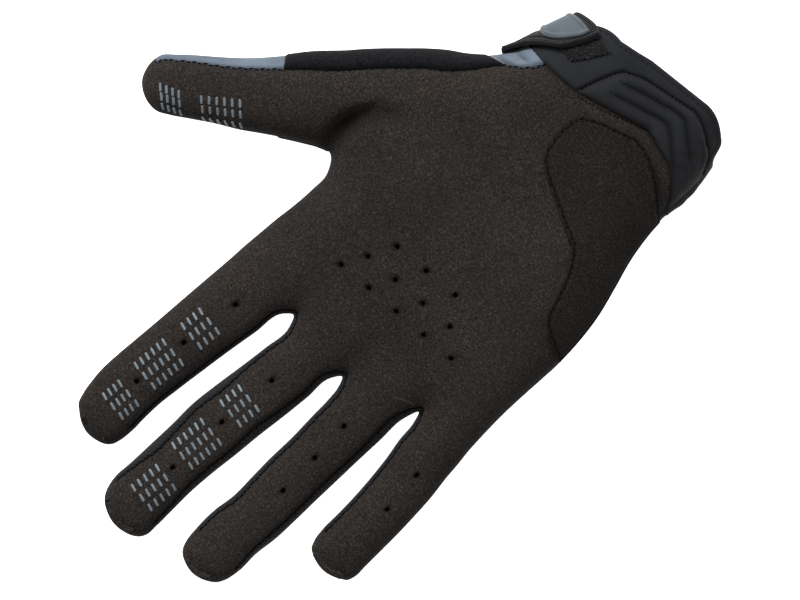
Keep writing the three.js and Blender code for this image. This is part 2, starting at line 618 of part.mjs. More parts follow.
// Rows of the palm: the lines between the strips run straight from the wrist seam to the crotches
const crotchSeam = { ring: "crotchRing", apex: "crotchApex", seam: "crotchSeam" };
function linePoint(line, j) {
  if (line === "ulnar") return seamPoint("palmU" + j);
  if (line === "radial") return seamPoint("palmR" + j);
  if (line !== "web") return mixPoint(wristOf(line), seamPoint(crotchSeam[line]), j / palmRows);
  if (j > webRow) return seamPoint("palmI" + j);
  return mixPoint(wristOf("web"), seamPoint("palmI" + webRow), j / webRow);
}
const stripNames = ["little", "ring", "middle", "index", "thumb"];
stripNames.forEach((name, s) => {
  const [left, right] = [lineOrder[s], lineOrder[s + 1]];
  const rows = name === "thumb" ? webRow : palmRows;
  const row = (j) => {
    const bow = j === 0 ? bows[name].wrist : [0, 0];
    return across(linePoint(left, j), linePoint(right, j), bow);
  };
  const backOf = (j) => (name !== "thumb" ? "back_panel" : j < gussetTo ? "thumb_gusset" : "thumb_wipe");
  for (let j = 0; j < rows; j++) band(row(j), row(j + 1), "palm_panel", backOf(j));

  const digit = digits[name];
  const f = frameOf(digit);
  const last = digit.rows.length - 1;
  const digitRow = (j) => {
    if (j < 0) return row(rows);
    if (j === last) {
      const tips = Array.from({ length: cellsAcross - 1 }, (_, i) => seamPoint(name + "T" + (i + 1)));
      return [seamPoint(name + "U" + j), ...tips, seamPoint(name + "R" + j)];
    }
    const bow = f.along.map((c) => c * digit.rows[j].crown * digit.width);
    return across(seamPoint(name + "U" + j), seamPoint(name + "R" + j), bow);
  };
  const digitBack = (j) =>
    name !== "thumb" ? "back_panel" : j < thumbTipFrom ? "thumb_wipe" : "thumb_tip_back";
  for (let j = -1; j < last; j++) band(digitRow(j), digitRow(j + 1), "palm_panel", digitBack(j));
});

// The cuff: its rows run on from the wrist seam, and the ribbed panel's cells rise between the grooves
function cuffSeam(line, j) {
  if (line === "ulnar") return seamPoint(j ? "cuffU" + j : "palmU0");
  if (line === "radial") return seamPoint(j ? "cuffR" + j : "palmR0");
  return onCuff(line, cuffRowShares[j][line]);
}
function cuffRow(j) {
  return stripNames.flatMap((name, s) => {
    const [left, right] = [cuffSeam(lineOrder[s], j), cuffSeam(lineOrder[s + 1], j)];
    const bow = mixPoint(bows[name].wrist, bows[name].mouth, cuffRowShares[j].ulnar);
    return across(left, right, bow).slice(s === 0 ? 0 : 1);
  });
}
const ribbedColumns = 3 * cellsAcross;
const ribbed = [];
for (let j = 0; j < cuffRows; j++) {
  const [lower, upper] = [cuffRow(j + 1), cuffRow(j)];
  const palmSidePanel = (i) => (i < ribbedColumns && j < ribRows ? "cuff_palm_panel" : "cuff_wrap");
  band(lower, upper, palmSidePanel, "cuff_wrap");
  if (j > 0 && j < ribRows && j % cellsPerRib)
    ribbed.push(...upper.slice(1, ribbedColumns).map((p) => ({ id: pointAt(p, 1), part: j / cellsPerRib })));
}

// Normals of the whole outer face, so that neighbouring panels turn their edges the same way
const normals = points.map(() => new THREE.Vector3());
for (const triangle of Object.values(cells).flat()) {
  const [a, b, c] = triangle.map((i) => points[i]);
  const n = new THREE.Vector3().crossVectors(b.clone().sub(a), c.clone().sub(a));
  triangle.forEach((i) => normals[i].add(n));
}
normals.forEach((n) => n.normalize());
ribbed.forEach(({ id, part }) => {
  points[id].addScaledVector(normals[id], ribRise * Math.sin(Math.PI * (part % 1)));
});

// Solid of one panel: its outer face, the same face moved in by the wall, and the edge between them.
// Edge points step back from the seam by half the gap.
function panelSolid(triangles, wall) {
  const edges = new Map();
  for (const t of triangles)
    for (let i = 0; i < 3; i++) {
      const [a, b] = [t[i], t[(i + 1) % 3]];
      if (a === b) continue;
      const twin = b + "," + a;
      if (edges.has(twin)) edges.delete(twin);
      else edges.set(a + "," + b, { a, b });
    }
  const back = new Map();
  for (const { a, b } of edges.values()) {
    const along = points[b].clone().sub(points[a]).normalize();
    for (const i of [a, b]) {
      if (!back.has(i)) back.set(i, new THREE.Vector3());
      back.get(i).add(new THREE.Vector3().crossVectors(normals[i], along).normalize());
    }
  }
  const outer = (i) => {
    const p = points[i].clone();
    if (back.has(i)) p.addScaledVector(back.get(i).clone().normalize(), seamGap / 2);
    return p;
  };
  const faces = [];
  for (const [a, b, c] of triangles) {
    faces.push([outer(a), outer(b), outer(c)]);
    faces.push([c, b, a].map((i) => outer(i).addScaledVector(normals[i], -wall)));
  }
  for (const { a, b } of edges.values()) {
    const [p, q] = [outer(a), outer(b)];
    const r = q.clone().addScaledVector(normals[b], -wall);
    const s = p.clone().addScaledVector(normals[a], -wall);
    if (a < b) faces.push([q, p, s], [q, s, r]);
    else faces.push([q, p, r], [p, s, r]);
  }
  return geometryOf(faces);
}

function geometryOf(faces) {
  const flat = new Float32Array(faces.flat().flatMap((v) => [v.x, v.y, v.z]));
  const geometry = new THREE.BufferGeometry();
  geometry.setAttribute("position", new THREE.BufferAttribute(flat, 3));
  return geometry;
}

// Solid of a sheet laid on the glove: a grid of surface points lifted off the wall, and given a thickness
function sheetSolid(grid, liftOf, thickness) {
  const [rows, columns] = [grid.length, grid[0].length];
  const at = (j, i) =>
    grid[THREE.MathUtils.clamp(j, 0, rows - 1)][THREE.MathUtils.clamp(i, 0, columns - 1)];
  const normalAt = (j, i) =>
    new THREE.Vector3()
      .crossVectors(at(j, i + 1).clone().sub(at(j, i - 1)), at(j + 1, i).clone().sub(at(j - 1, i)))
      .normalize();
  const layer = (extra) =>
    grid.map((row, j) => row.map((p, i) => p.clone().addScaledVector(normalAt(j, i), liftOf(j, i) + extra)));
  const [under, over] = [layer(0), layer(thickness)];
  const faces = [];
  const quad = (a, b, c, d) => faces.push([a, b, c], [a, c, d]);
  for (let j = 0; j + 1 < rows; j++)
    for (let i = 0; i + 1 < columns; i++) {
      quad(over[j][i], over[j][i + 1], over[j + 1][i + 1], over[j + 1][i]);
      quad(under[j][i], under[j + 1][i], under[j + 1][i + 1], under[j][i + 1]);
    }
  const wallAlong = (pairs) =>
    pairs.slice(1).forEach(([u, o], i) => quad(pairs[i][0], u, o, pairs[i][1]));
  const rim = [];
  for (let i = 0; i < columns; i++) rim.push([under[0][i], over[0][i]]);
  for (let j = 1; j < rows; j++) rim.push([under[j][columns - 1], over[j][columns - 1]]);
  for (let i = columns - 2; i >= 0; i--) rim.push([under[rows - 1][i], over[rows - 1][i]]);
  for (let j = rows - 2; j >= 0; j--) rim.push([under[j][0], over[j][0]]);
  wallAlong(rim);
  return geometryOf(faces);
}

// Heel pad: rows from the edge of the hand to the stitched line
const edgeAt = (y, list) => {
  const curve = spaced(list, 200);
  return curve.reduce((best, p) => (Math.abs(p[1] - y) < Math.abs(best[1] - y) ? p : best));
};
const ulnarPoints = ulnarEdge.map(share);
const padEdgeInset = 1;
const heelPadInner = spaced(heelPadRows.map(share), heelPadSteps);
const heelPadOuter = spaced(
  heelPadRows.map((row) => edgeAt(row.outer * palmLength, ulnarPoints)), heelPadSteps);
const heelPadGrid = heelPadInner.map((inner, j) => {
  const outer = [heelPadOuter[j][0] + padEdgeInset, heelPadOuter[j][1]];
  const bow = -heelPadBow * palmLength * (j / heelPadSteps) ** 4;
  return Array.from({ length: heelPadColumns + 1 }, (_, i) => {
    const u = (i / heelPadColumns) ** 1.5;
    const p = mixPoint(outer, inner, u);
    p[1] += bow * 4 * u * (1 - u);
    return new THREE.Vector3(p[0], p[1], height(p, 1));
  });
}).reverse();

// Cuff surface round its radial edge: y in plan, and the distance along the wall from the edge,
// positive on the palm side and negative on the back
const radialPoints = [...radialSide].reverse().concat(
  Array.from({ length: cuffRows }, (_, j) => onCuff("radial", cuffRowShares[j + 1].radial)),
);
function roundTheEdge(y, way) {
  const edge = edgeAt(y, radialPoints);
  const round = fullnessAt([edge[0], y]).round * (way < 0 ? backRoundShare : 1);
  const turn = Math.min(Math.abs(way) / round, Math.PI / 2);
  const inset = round * (1 - Math.cos(turn)) + Math.max(0, Math.abs(way) - (round * Math.PI) / 2);
  const p = [edge[0] - inset, y];
  return new THREE.Vector3(p[0], p[1], height(p, way < 0 ? -1 : 1));
}
// Height of a row where it is so far round: its end's height at the farthest, its own from the edge back
const rowHeight = (row, way, farthest) =>
  mix(row.y, row.end ?? row.y, ramp(way, 0, farthest)) * palmLength;
const wayGrid = (rows, columns, wayOf) =>
  rows.map((row) =>
    Array.from({ length: columns + 1 }, (_, i) => {
      const way = wayOf(row, i / columns);
      return roundTheEdge(rowHeight(row, way, wayOf(row, 0)), way);
    }),
  );
const strapWay = (row, u) => mix(row.reach, -strapBackReach, u);
const patchWay = (row, u) => mix(row.reach, row.reach - patchWidth, u);
const badgeWay = (row, u) => mix(row.from, row.to, u);
const strapGrid = wayGrid(strapRows, strapColumns, strapWay);
const patchGrid = wayGrid(patchRows, 3, patchWay);
const badgeGrid = wayGrid(badgeRows, badgeColumns, badgeWay);
const strapByHeight = strapRows.map((row) => ({ at: row.y, lift: row.lift }));
function strapLiftAt(row, way) {
  const loose = lookUp(strapByHeight, row.y).lift * ramp(way, looseFrom, looseTo);
  const overPatch = (loopPileThickness + layerGap) * ramp(way, patchStepFrom, patchStepTo);
  return strapGap + Math.max(loose, overPatch);
}
const strapLifts = (j, i) => strapLiftAt(strapRows[j], strapWay(strapRows[j], i / strapColumns));
const badgeLifts = (j, i) =>
  strapLiftAt(badgeRows[j], badgeWay(badgeRows[j], i / badgeColumns)) + strapThickness + layerGap;

// Punches round holes through a panel, square to the table
function punched(geometry, holes, diameter) {
  const solid = solidOf(geometry);
  const pins = holes.map(([x, y]) => {
    const pin = new THREE.CylinderGeometry(diameter / 2, diameter / 2, 3 * suedeWall, ventSides);
    pin.rotateX(Math.PI / 2).translate(x, y, height([x, y], 1));
    return solidOf(pin);
  });
  const cut = pins.reduce((rest, pin) => rest.subtract(pin), solid).getMesh();
  const out = new THREE.BufferGeometry();
  out.setAttribute("position", new THREE.BufferAttribute(new Float32Array(cut.vertProperties), 3));
  out.setIndex(new THREE.BufferAttribute(new Uint32Array(cut.triVerts), 1));
  return out;
}
function solidOf(geometry) {
  const bare = geometry.clone();
  bare.deleteAttribute("normal");
  bare.deleteAttribute("uv");
  const merged = mergeVertices(bare, 1e-3);
  return new wasm.Manifold(
    new wasm.Mesh({
      numProp: 3,
      vertProperties: merged.attributes.position.array,
      triVerts: new Uint32Array(merged.index.array),
    }),
  );
}
const palmVents = ventRows.flatMap((row) =>
  Array.from({ length: row.count }, (_, i) =>
    share({ x: row.x + i * row.stepX, y: row.y + i * row.stepY }),
  ),
);
const fingerVents = digitVents.map((vent) => {
  const digit = digits[vent.digit];
  return inDigit(digit, vent.along * digit.length, vent.off);
});

// Materials
const suede = new THREE.MeshStandardMaterial({ color: 0x2d2925, roughness: 0.95, metalness: 0 });
const blueKnit = new THREE.MeshStandardMaterial({ color: 0x65758a, roughness: 0.85, metalness: 0 });
const blackMesh = new THREE.MeshStandardMaterial({ color: 0x15171a, roughness: 0.9, metalness: 0 });
const terry = new THREE.MeshStandardMaterial({ color: 0x1d1f26, roughness: 1, metalness: 0 });
const neoprene = new THREE.MeshStandardMaterial({ color: 0x202429, roughness: 0.8, metalness: 0 });
const pile = new THREE.MeshStandardMaterial({ color: 0x0c0c0d, roughness: 1, metalness: 0 });
const webbing = new THREE.MeshStandardMaterial({ color: 0x2a2628, roughness: 0.6, metalness: 0 });
const rubber = new THREE.MeshStandardMaterial({ color: 0x5d7078, roughness: 0.55, metalness: 0 });

const glove = new THREE.Group();
function add(name, geometry, material) {
  const mesh = new THREE.Mesh(geometry, material);
  mesh.name = name;
  glove.add(mesh);
}
const panel = (name, wall, material) => add(name, panelSolid(cells[name], wall), material);

add(
  "palm_panel",
  punched(panelSolid(cells.palm_panel, suedeWall), [...palmVents, ...fingerVents], ventDiameter),
  suede,
);
add("heel_pad", sheetSolid(heelPadGrid, () => heelPadGap, heelPadThickness), suede);
panel("back_panel", knitWall, blueKnit);
panel("fourchette_index_middle", meshWall, blackMesh);
panel("fourchette_middle_ring", meshWall, blackMesh);
panel("fourchette_ring_little", meshWall, blackMesh);
panel("thumb_tip_back", knitWall, blueKnit);
panel("thumb_wipe", terryWall, terry);
panel("thumb_gusset", knitWall, blueKnit);
panel("cuff_palm_panel", neopreneWall, neoprene);
panel("cuff_wrap", neopreneWall, neoprene);
add("loop_patch", sheetSolid(patchGrid, () => layerGap, loopPileThickness), pile);
add("closure_strap", sheetSolid(strapGrid, strapLifts, strapThickness), webbing);
add("strap_badge", sheetSolid(badgeGrid, badgeLifts, badgeThickness), rubber);

// The origin is the middle of the glove's box, on the table
const box = new THREE.Box3().setFromObject(glove, true);
const centre = box.getCenter(new THREE.Vector3());
glove.position.set(-centre.x, -centre.y, -box.min.z);

export default glove;
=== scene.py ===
# %% [markdown]
# A full-finger cycling glove for the right hand, lying palm up.
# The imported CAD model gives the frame: its pieces sit in metres, with the palm up and the fingers towards +Y.
# Every cloth piece of it is replaced here by a finer one, made of surfaces worked out with numpy.

# %% Load the frame
import math

import bpy
import numpy as np
from mathutils import Matrix


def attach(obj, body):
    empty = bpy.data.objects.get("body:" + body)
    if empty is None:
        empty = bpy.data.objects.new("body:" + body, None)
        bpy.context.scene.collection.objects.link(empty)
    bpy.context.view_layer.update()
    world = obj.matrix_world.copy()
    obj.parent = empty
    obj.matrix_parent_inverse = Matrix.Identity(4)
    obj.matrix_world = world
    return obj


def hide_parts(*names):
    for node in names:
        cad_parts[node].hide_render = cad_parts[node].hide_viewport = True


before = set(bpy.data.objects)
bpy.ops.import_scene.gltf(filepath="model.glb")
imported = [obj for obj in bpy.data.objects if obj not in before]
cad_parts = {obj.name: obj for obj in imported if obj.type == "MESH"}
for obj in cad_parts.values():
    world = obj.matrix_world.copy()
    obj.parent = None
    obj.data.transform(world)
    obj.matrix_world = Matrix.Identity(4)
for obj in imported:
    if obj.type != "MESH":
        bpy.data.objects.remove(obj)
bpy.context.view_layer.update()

MM = 0.001
print("CAD nodes:", sorted(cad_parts))

# %% [markdown]
# The glove is drawn in millimetres, as its pattern would be, and moved into the frame at the end.
# The drawing's outline in plan comes from tables: one row for each section across a digit.
# A traced outline could do the same, but rows with a name for each column can be read and changed.

# %% Sizes of the hand and its digits
palm_width, palm_length = 98.0, 128.0
frame_middle = np.array([22.225, 47.063])     # the drawing's point that is the frame's origin
palm_rows, web_row, cells_across = 15, 9, 4
fine_along, fine_across = 8, 6                # grid steps to each cell of the drawing
fine_rib, fine_hem = 5, 14                    # grid steps to each row of the ribs, and to the hem's row
fine_round = 12                               # grid steps round an edge, from seam to seam

# along: share of the digit's length. ulnar, radial: from axis to each edge, as shares of its width.
# crown: how far the row bows to the tip, slant: how far its ulnar end lags, as shares of its width.
# show_u, show_r: millimetres of side panel that show beside the seam on each edge.
columns = ("along", "ulnar", "radial", "crown", "slant", "show_u", "show_r")
digits = {
    "little": dict(root=(-0.483, 0.531), lean=-8.3, length=56.2, width=19.5, rows=[
        (0, .55, .482, 0, 0, 2.4, 1.2), (.12, .559, .472, 0, 0, 2.4, 1.1),
        (.25, .585, .43, 0, 0, 2.4, 1.1), (.4, .585, .405, 0, 0, 2.4, 1.1),
        (.55, .574, .4, 0, 0, 2.4, 1.1), (.7, .549, .415, .01, 0, 2.4, 1.1),
        (.82, .528, .436, .03, 0, 2.2, 1.1), (.9, .513, .415, .06, 0, 2, 1.2),
        (.95, .446, .354, .08, 0, 1.7, 1.4), (.968, .354, .28, .09, 0, 1.5, 1.5)]),
    "ring": dict(root=(-0.243, 0.594), lean=-3.4, length=81.2, width=20.5, rows=[
        (0, .55, .537, 0, .42, 2.5, 1.4), (.09, .546, .507, 0, .15, 2.3, 1.4),
        (.2, .541, .49, 0, 0, 1.9, 1.3), (.33, .541, .463, 0, 0, 2.2, 1.3),
        (.45, .541, .463, 0, 0, 2, 1.3), (.56, .546, .444, 0, 0, 2, 1.4),
        (.66, .541, .429, 0, 0, 2.1, 1.6), (.76, .502, .473, .01, 0, 1.6, 1.3),
        (.86, .512, .463, .03, 0, 1.2, 1.2), (.93, .454, .424, .07, 0, 1.3, 1.3),
        (.957, .39, .38, .09, 0, 1.4, 1.4), (.972, .317, .332, .112, 0, 1.5, 1.5)]),
    "middle": dict(root=(0.022, 0.629), lean=0, length=86, width=21.5, rows=[
        (0, .526, .484, 0, 0, 2, 1.3), (.12, .52, .48, 0, 0, 1.8, 1.2), (.23, .512, .498, 0, 0, 2.2, 1.5),
        (.35, .493, .526, 0, 0, 2.7, 2.5), (.47, .488, .54, 0, 0, 2, 2.2),
        (.58, .474, .502, 0, 0, 2, 2.4), (.69, .479, .479, 0, 0, 1.9, 2.9),
        (.8, .516, .456, .02, 0, 1.2, 1.6), (.88, .544, .447, .05, 0, 1.2, 1.2),
        (.93, .549, .39, .08, 0, 1.3, 1.3), (.955, .502, .33, .1, 0, 1.4, 1.4),
        (.97, .442, .27, .116, 0, 1.5, 1.5)]),
    "index": dict(root=(0.311, 0.617), lean=0, length=75, width=22, rows=[
        (0, .6, .55, 0, 0, 1.2, 2.4), (.15, .545, .545, 0, 0, 1.1, 2.4), (.3, .505, .54, 0, 0, 1.1, 2.4),
        (.44, .478, .534, 0, 0, 1.1, 2.4), (.57, .456, .533, 0, 0, 1.1, 2.4),
        (.68, .445, .532, 0, 0, 1.1, 2.4), (.77, .464, .517, 0, 0, 1.1, 2.3),
        (.84, .489, .475, .02, 0, 1.2, 2), (.9, .486, .42, .05, 0, 1.3, 1.8),
        (.945, .452, .345, .09, 0, 1.4, 1.6), (.963, .408, .26, .122, 0, 1.5, 1.5)]),
    "thumb": dict(root=(0.613, 0.166), lean=46.3, length=63.7, width=24, rows=[
        (.05, .635, .68, 0, 0, 2.4, 6.1), (.14, .597, .645, 0, 0, 2.4, 5.6),
        (.275, .557, .562, 0, 0, 2.4, 4.5), (.36, .54, .516, 0, 0, 2.4, 4),
        (.47, .522, .472, 0, 0, 2.4, 3.5), (.6, .475, .446, 0, 0, 2.4, 3),
        (.74, .446, .433, .02, 0, 2.2, 2.3), (.84, .425, .412, .05, 0, 2, 1.9),
        (.91, .388, .388, .1, 0, 1.7, 1.7), (.945, .32, .325, .146, 0, 1.5, 1.5)]),
}
for digit in digits.values():
    lean = math.radians(digit["lean"])
    digit["root"] = np.array(digit["root"]) * (palm_width, palm_length)
    digit["up"] = np.array([math.sin(lean), math.cos(lean)])
    digit["side"] = np.array([math.cos(lean), -math.sin(lean)])
    digit["rows"] = [dict(zip(columns, row)) for row in digit["rows"]]
print("digits:", {name: f"{d['length']:.0f} mm long" for name, d in digits.items()})

# %% Edges of the palm and lines of the cuff
hand = np.array([palm_width, palm_length])
ulnar_edge = hand * [(-.4, -.301), (-.413, -.234), (-.439, -.156), (-.477, -.078), (-.513, 0), (-.536, .078),
                     (-.55, .156), (-.555, .258), (-.561, .352), (-.572, .43), (-.582, .484)]
radial_edge = hand * [(.342, -.312), (.36, -.266), (.402, -.213), (.453, -.172), (.51, -.135), (.582, -.073),
                      (.633, -.027), (.684, .023), (.722, .063)]
index_edge = hand * [(.494, .258), (.452, .285), (.434, .36), (.436, .47), (.436, .586)]

# Lines between the digits' strips of palm: where each meets the wrist seam and the mouth of the cuff
cuff_lines = {
    "ulnar": dict(wrist=(-.4, -.301), mouth=(-.376, -.473), bulge=-1.2),
    "ring": dict(wrist=(-.268, -.388), mouth=(-.321, -.541), bulge=0),
    "apex": dict(wrist=(-.143, -.402), mouth=(-.209, -.566), bulge=0),
    "seam": dict(wrist=(.115, -.326), mouth=(.031, -.529), bulge=.7),
    "web": dict(wrist=(.194, -.317), mouth=(.148, -.501), bulge=0),
    "radial": dict(wrist=(.342, -.312), mouth=(.291, -.468), bulge=.3),
}
line_names = list(cuff_lines)
strip_names = list(digits)
bows = {"little": ((-.5, -2), (-.6, -.5)), "ring": ((0, 0), (-.2, -1)), "middle": ((0, 0), (0, 0)),
        "index": ((0, 0), (0, 0)), "thumb": ((0, 0), (.4, -.9))}     # at the wrist, at the mouth, in mm
# Grooves of the cuff: share of the way from wrist seam to mouth on each line
grooves = np.array([(0, 0, 0, 0, 0, 0), (.28, .15, .31, .3, .3, .3), (.5, .42, .55, .51, .5, .5),
                    (.76, .72, .77, .71, .74, .75), (1, 1, 1, 1, 1, 1)])
rib_cells, ribs = 3, 3
gusset_seam = [(-8.3, 0), (-6.6, 0), (-6.3, -2.5), (-3.6, 3.6), (-4.4, 4.8)]
palm_side_inset, cuff_side_inset = 2.4, 2.2
print("cuff:", len(cuff_lines), "lines,", ribs, "rows of ribs")

# %% Smooth curves
def spline(points, steps):
    """Hermite curve through the points. The slope at a point is the mean of the chords' directions on both
    sides, each weighted with the other chord's length. steps says how many parts each chord is cut into."""
    chord = np.diff(points, axis=0)
    length = np.linalg.norm(chord, axis=1, keepdims=True)
    way = chord / length
    inner = (length[:-1] * way[1:] + length[1:] * way[:-1]) / (length[:-1] + length[1:])
    slope = np.concatenate([way[:1], inner, way[-1:]])
    parts = []
    for i, n in enumerate(np.broadcast_to(steps, len(chord))):
        t = (np.arange(n) / n)[:, None]
        a, b, h = points[i], points[i + 1], length[i]
        parts.append(a * (1 + 2 * t) * (1 - t) ** 2 + b * t * t * (3 - 2 * t)
                     + h * slope[i] * t * (1 - t) ** 2 - h * slope[i + 1] * t * t * (1 - t))
    return np.concatenate(parts + [points[-1:]])


def run_of(line):
    """Length of a line up to each of its points: the sum of the chords so far."""
    return np.concatenate([[0], np.cumsum(np.linalg.norm(np.diff(line, axis=0), axis=1))])


def at_run(values, run, at):
    """What a line's points, or values at them, are at given lengths along it."""
    return np.stack([np.interp(at, run, values[:, k]) for k in range(values.shape[1])], axis=1)


def evenly(points, count):
    """The curve through the points, cut into count equal lengths."""
    fine = spline(np.asarray(points, float), 40)
    run = run_of(fine)
    return at_run(fine, run, np.linspace(0, run[-1], count + 1))


def unit(v):
    v = np.asarray(v, float)
    return v / np.maximum(np.linalg.norm(v, axis=-1, keepdims=True), 1e-12)


print("the ulnar edge is", run_of(evenly(ulnar_edge, palm_rows))[-1].round(1), "mm long")

# %% [markdown]
# Round the glove, in plan, run two lines: the outline itself, and the seam that lies a little inside it.
# Both could be drawn as curves by hand. Here stations carry a name, a point and the way in to the seam, so
# that any stretch of the glove can be asked for by its names, and one spline goes through each set.

# %% Stations of the outline
stations = {}


def station(name, point, inward, inset, steps=fine_along):
    """A point of the outline, with the way in to the seam beside it. steps: grid steps on to the next one."""
    seam = np.asarray(point) + unit(inward) * inset
    stations[name] = dict(point=np.asarray(point, float), seam=seam, steps=steps)


def last_row(name):
    return len(digits[name]["rows"]) - 1


def on_cuff(line, part):
    """Point of a cuff line at a share of its way down: straight, with a parabola's bulge sideways."""
    wrist, mouth = (hand * cuff_lines[line][end] for end in ("wrist", "mouth"))
    part = np.asarray(part, float)[..., None]
    bulge = np.array([cuff_lines[line]["bulge"], 0])
    return wrist + (mouth - wrist) * part + bulge * 4 * part * (1 - part)


groove_rows = np.append(np.arange(ribs * rib_cells + 1) / rib_cells, ribs + 1)
cuff_shares = {line: np.interp(groove_rows, np.arange(5), grooves[:, i]) for i, line in enumerate(line_names)}
cuff_rows = len(groove_rows) - 1
rib_rows = ribs * rib_cells
cuff_steps = [fine_rib] * rib_rows + [fine_hem]


def row_edges(digit, row):
    """Ulnar and radial end of a section across a digit, and the way from one to the other."""
    middle = digit["root"] + digit["up"] * row["along"] * digit["length"]
    lag = digit["up"] * row["slant"] * digit["width"] / 2
    ulnar = middle - lag - digit["side"] * row["ulnar"] * digit["width"]
    radial = middle + lag + digit["side"] * row["radial"] * digit["width"]
    return ulnar, radial, unit(radial - ulnar)


for j in range(cuff_rows, 0, -1):
    p, q = (on_cuff(line, cuff_shares[line][j]) for line in ("ulnar", "ring"))
    station(f"cuffU{j}", p, q - p, cuff_side_inset, cuff_steps[j - 1])
for j, p in enumerate(evenly(ulnar_edge, palm_rows)):
    station(f"palmU{j}", p, on_cuff("ring", 0) - p if j == 0 else (1, 0), palm_side_inset)
print("stations up the ulnar side:", len(stations))

# %% Stations round the fingers
tip_inset, tip_turn = 1.5, .8      # the seam's distance at a fingertip, and how much its way in fans out


def digit_stations(name):
    """Up a digit's ulnar edge, round its tip, whose crown is a parabola, and down its radial edge."""
    digit, last = digits[name], last_row(name)
    for j, row in enumerate(digit["rows"]):
        ulnar, _, across = row_edges(digit, row)
        way = across - digit["up"] if j == last else across
        station(f"{name}U{j}", ulnar, way, row["show_u"], fine_across if j == last else fine_along)
    ulnar, radial, across = row_edges(digit, digit["rows"][last])
    for i in range(1, cells_across):
        u = i / cells_across
        crown = digit["rows"][last]["crown"] * digit["width"] * 4 * u * (1 - u)
        point = ulnar + (radial - ulnar) * u + digit["up"] * crown
        way = -digit["up"] - (u - .5) * tip_turn * across
        station(f"{name}T{i}", point, way, tip_inset, fine_across)
    for j in range(last, -1, -1):
        _, radial, across = row_edges(digit, digit["rows"][j])
        way = -across - digit["up"] if j == last else -across
        station(f"{name}R{j}", radial, way, digit["rows"][j]["show_r"])


def crotch(name, lower, upper, drop, show):
    """The lowest point between two fingers, a drop below the middle of their first rows' ends."""
    a = row_edges(digits[lower], digits[lower]["rows"][0])[1]
    b = row_edges(digits[upper], digits[upper]["rows"][0])[0]
    station(name, (a + b) / 2 - (0, drop), (0, -1), show)


digit_stations("little")
crotch("crotchRing", "little", "ring", 4.6, 1.4)
digit_stations("ring")
crotch("crotchApex", "ring", "middle", 3.3, 1.4)
digit_stations("middle")
crotch("crotchSeam", "middle", "index", 3.1, 1.1)
digit_stations("index")
index_side = evenly(index_edge, palm_rows - web_row)
for j in range(palm_rows, web_row - 1, -1):
    way = (-.35, -1) if j == web_row else (-1, -.4 if j == web_row + 1 else 0)
    station(f"palmI{j}", index_side[j - web_row], way, palm_side_inset)
digit_stations("thumb")
radial_side = evenly(radial_edge, web_row)
for j in range(web_row, -1, -1):
    run = unit(radial_side[min(j + 1, web_row)] - radial_side[max(j - 1, 0)])
    way = gusset_seam[j] if j < len(gusset_seam) else (-run[1], run[0])
    inset = math.hypot(*way) if j < len(gusset_seam) else digits["thumb"]["rows"][0]["show_r"]
    station(f"palmR{j}", radial_side[j], way, inset, fine_along if j else cuff_steps[0])
for j in range(1, cuff_rows + 1):
    p, q = (on_cuff(line, cuff_shares[line][j]) for line in ("radial", "web"))
    station(f"cuffR{j}", p, q - p, 2 * cuff_side_inset, cuff_steps[min(j, rib_rows)])

steps = [s["steps"] for s in stations.values()][:-1]
fine_at = dict(zip(stations, np.concatenate([[0], np.cumsum(steps)])))
edge_line = spline(np.array([s["point"] for s in stations.values()]), steps)
seam_line = spline(np.array([s["seam"] for s in stations.values()]), steps)
print("outline:", len(stations), "stations,", len(edge_line), "fine points, from", edge_line.min(0).round(1),
      "to", edge_line.max(0).round(1), "mm")

# %% [markdown]
# A glove on a hand is a rounded form, so its height grows in from the outline like a quarter of an ellipse.
# How high and how round depends on the place: a full wrist, a flatter palm, slim fingers, a raised thumb.
# The height is one function of the place in plan, so every piece can be laid on it, at any fineness.

# %% Height of the glove over the table
# Share of palm length, height of the edge, reach of the palm above it and of the back below it, and the
# distance over which the wall turns from upright to flat
fullness = np.array([
    (-.57, 17.5, 14.5, 14.9, 19), (-.4, 17, 15, 14.6, 20), (-.27, 15.2, 14.8, 12.9, 21),
    (-.1, 13.8, 13.8, 13.8, 21), (0, 13, 13.2, 13, 21), (.3, 11, 11, 11, 19), (.5, 9, 9, 9, 14.5),
    (.6, 8, 8, 7.8, 11.5), (.75, 8, 7.3, 7.4, 10), (1, 8.3, 7, 7, 9.8), (1.3, 9.2, 6.6, 6.6, 9.5)])
# Share of thumb length, and the same for the thumb
thumb_fullness = np.array([
    (-.3, 14.5, 13, 13.5, 20), (.05, 15, 12, 11.5, 16), (.3, 15.5, 10, 10, 13), (.6, 15.5, 8.6, 8.8, 10.8),
    (1, 15.5, 7.6, 7.8, 9.4)])
back_round_share = .75      # the back turns flat over this share of that distance
batch = 4000                # points whose distances are worked out at a time


def smoothstep(x, low, high):
    t = np.clip((x - low) / (high - low), 0, 1)
    return t * t * (3 - 2 * t)


def quarter_round(x):
    """Rise of a quarter circle: 0 at 0, steep at first, and 1 from 1 on."""
    return np.sqrt(np.maximum(1 - (1 - np.minimum(x, 1)) ** 2, 0))


def look_up(table, at):
    """Rows of a table blended with a smoothstep between the two rows that at lies between."""
    i = np.clip(np.searchsorted(table[:, 0], at, side="right") - 1, 0, len(table) - 2)
    t = smoothstep(at, table[i, 0], table[i + 1, 0])[..., None]
    return table[i, 1:] * (1 - t) + table[i + 1, 1:] * t


def fullness_at(p):
    """Middle, up, down and round at plan points: the hand's, and near the thumb the thumb's."""
    thumb = digits["thumb"]
    away = p - thumb["root"]
    along, lateral = away @ thumb["up"], away @ thumb["side"]
    weight = (smoothstep(along, -12, 14) * smoothstep(lateral, -28, -17))[..., None]
    of_hand = look_up(fullness, p[..., 1] / palm_length)
    return of_hand * (1 - weight) + look_up(thumb_fullness, along / thumb["length"]) * weight


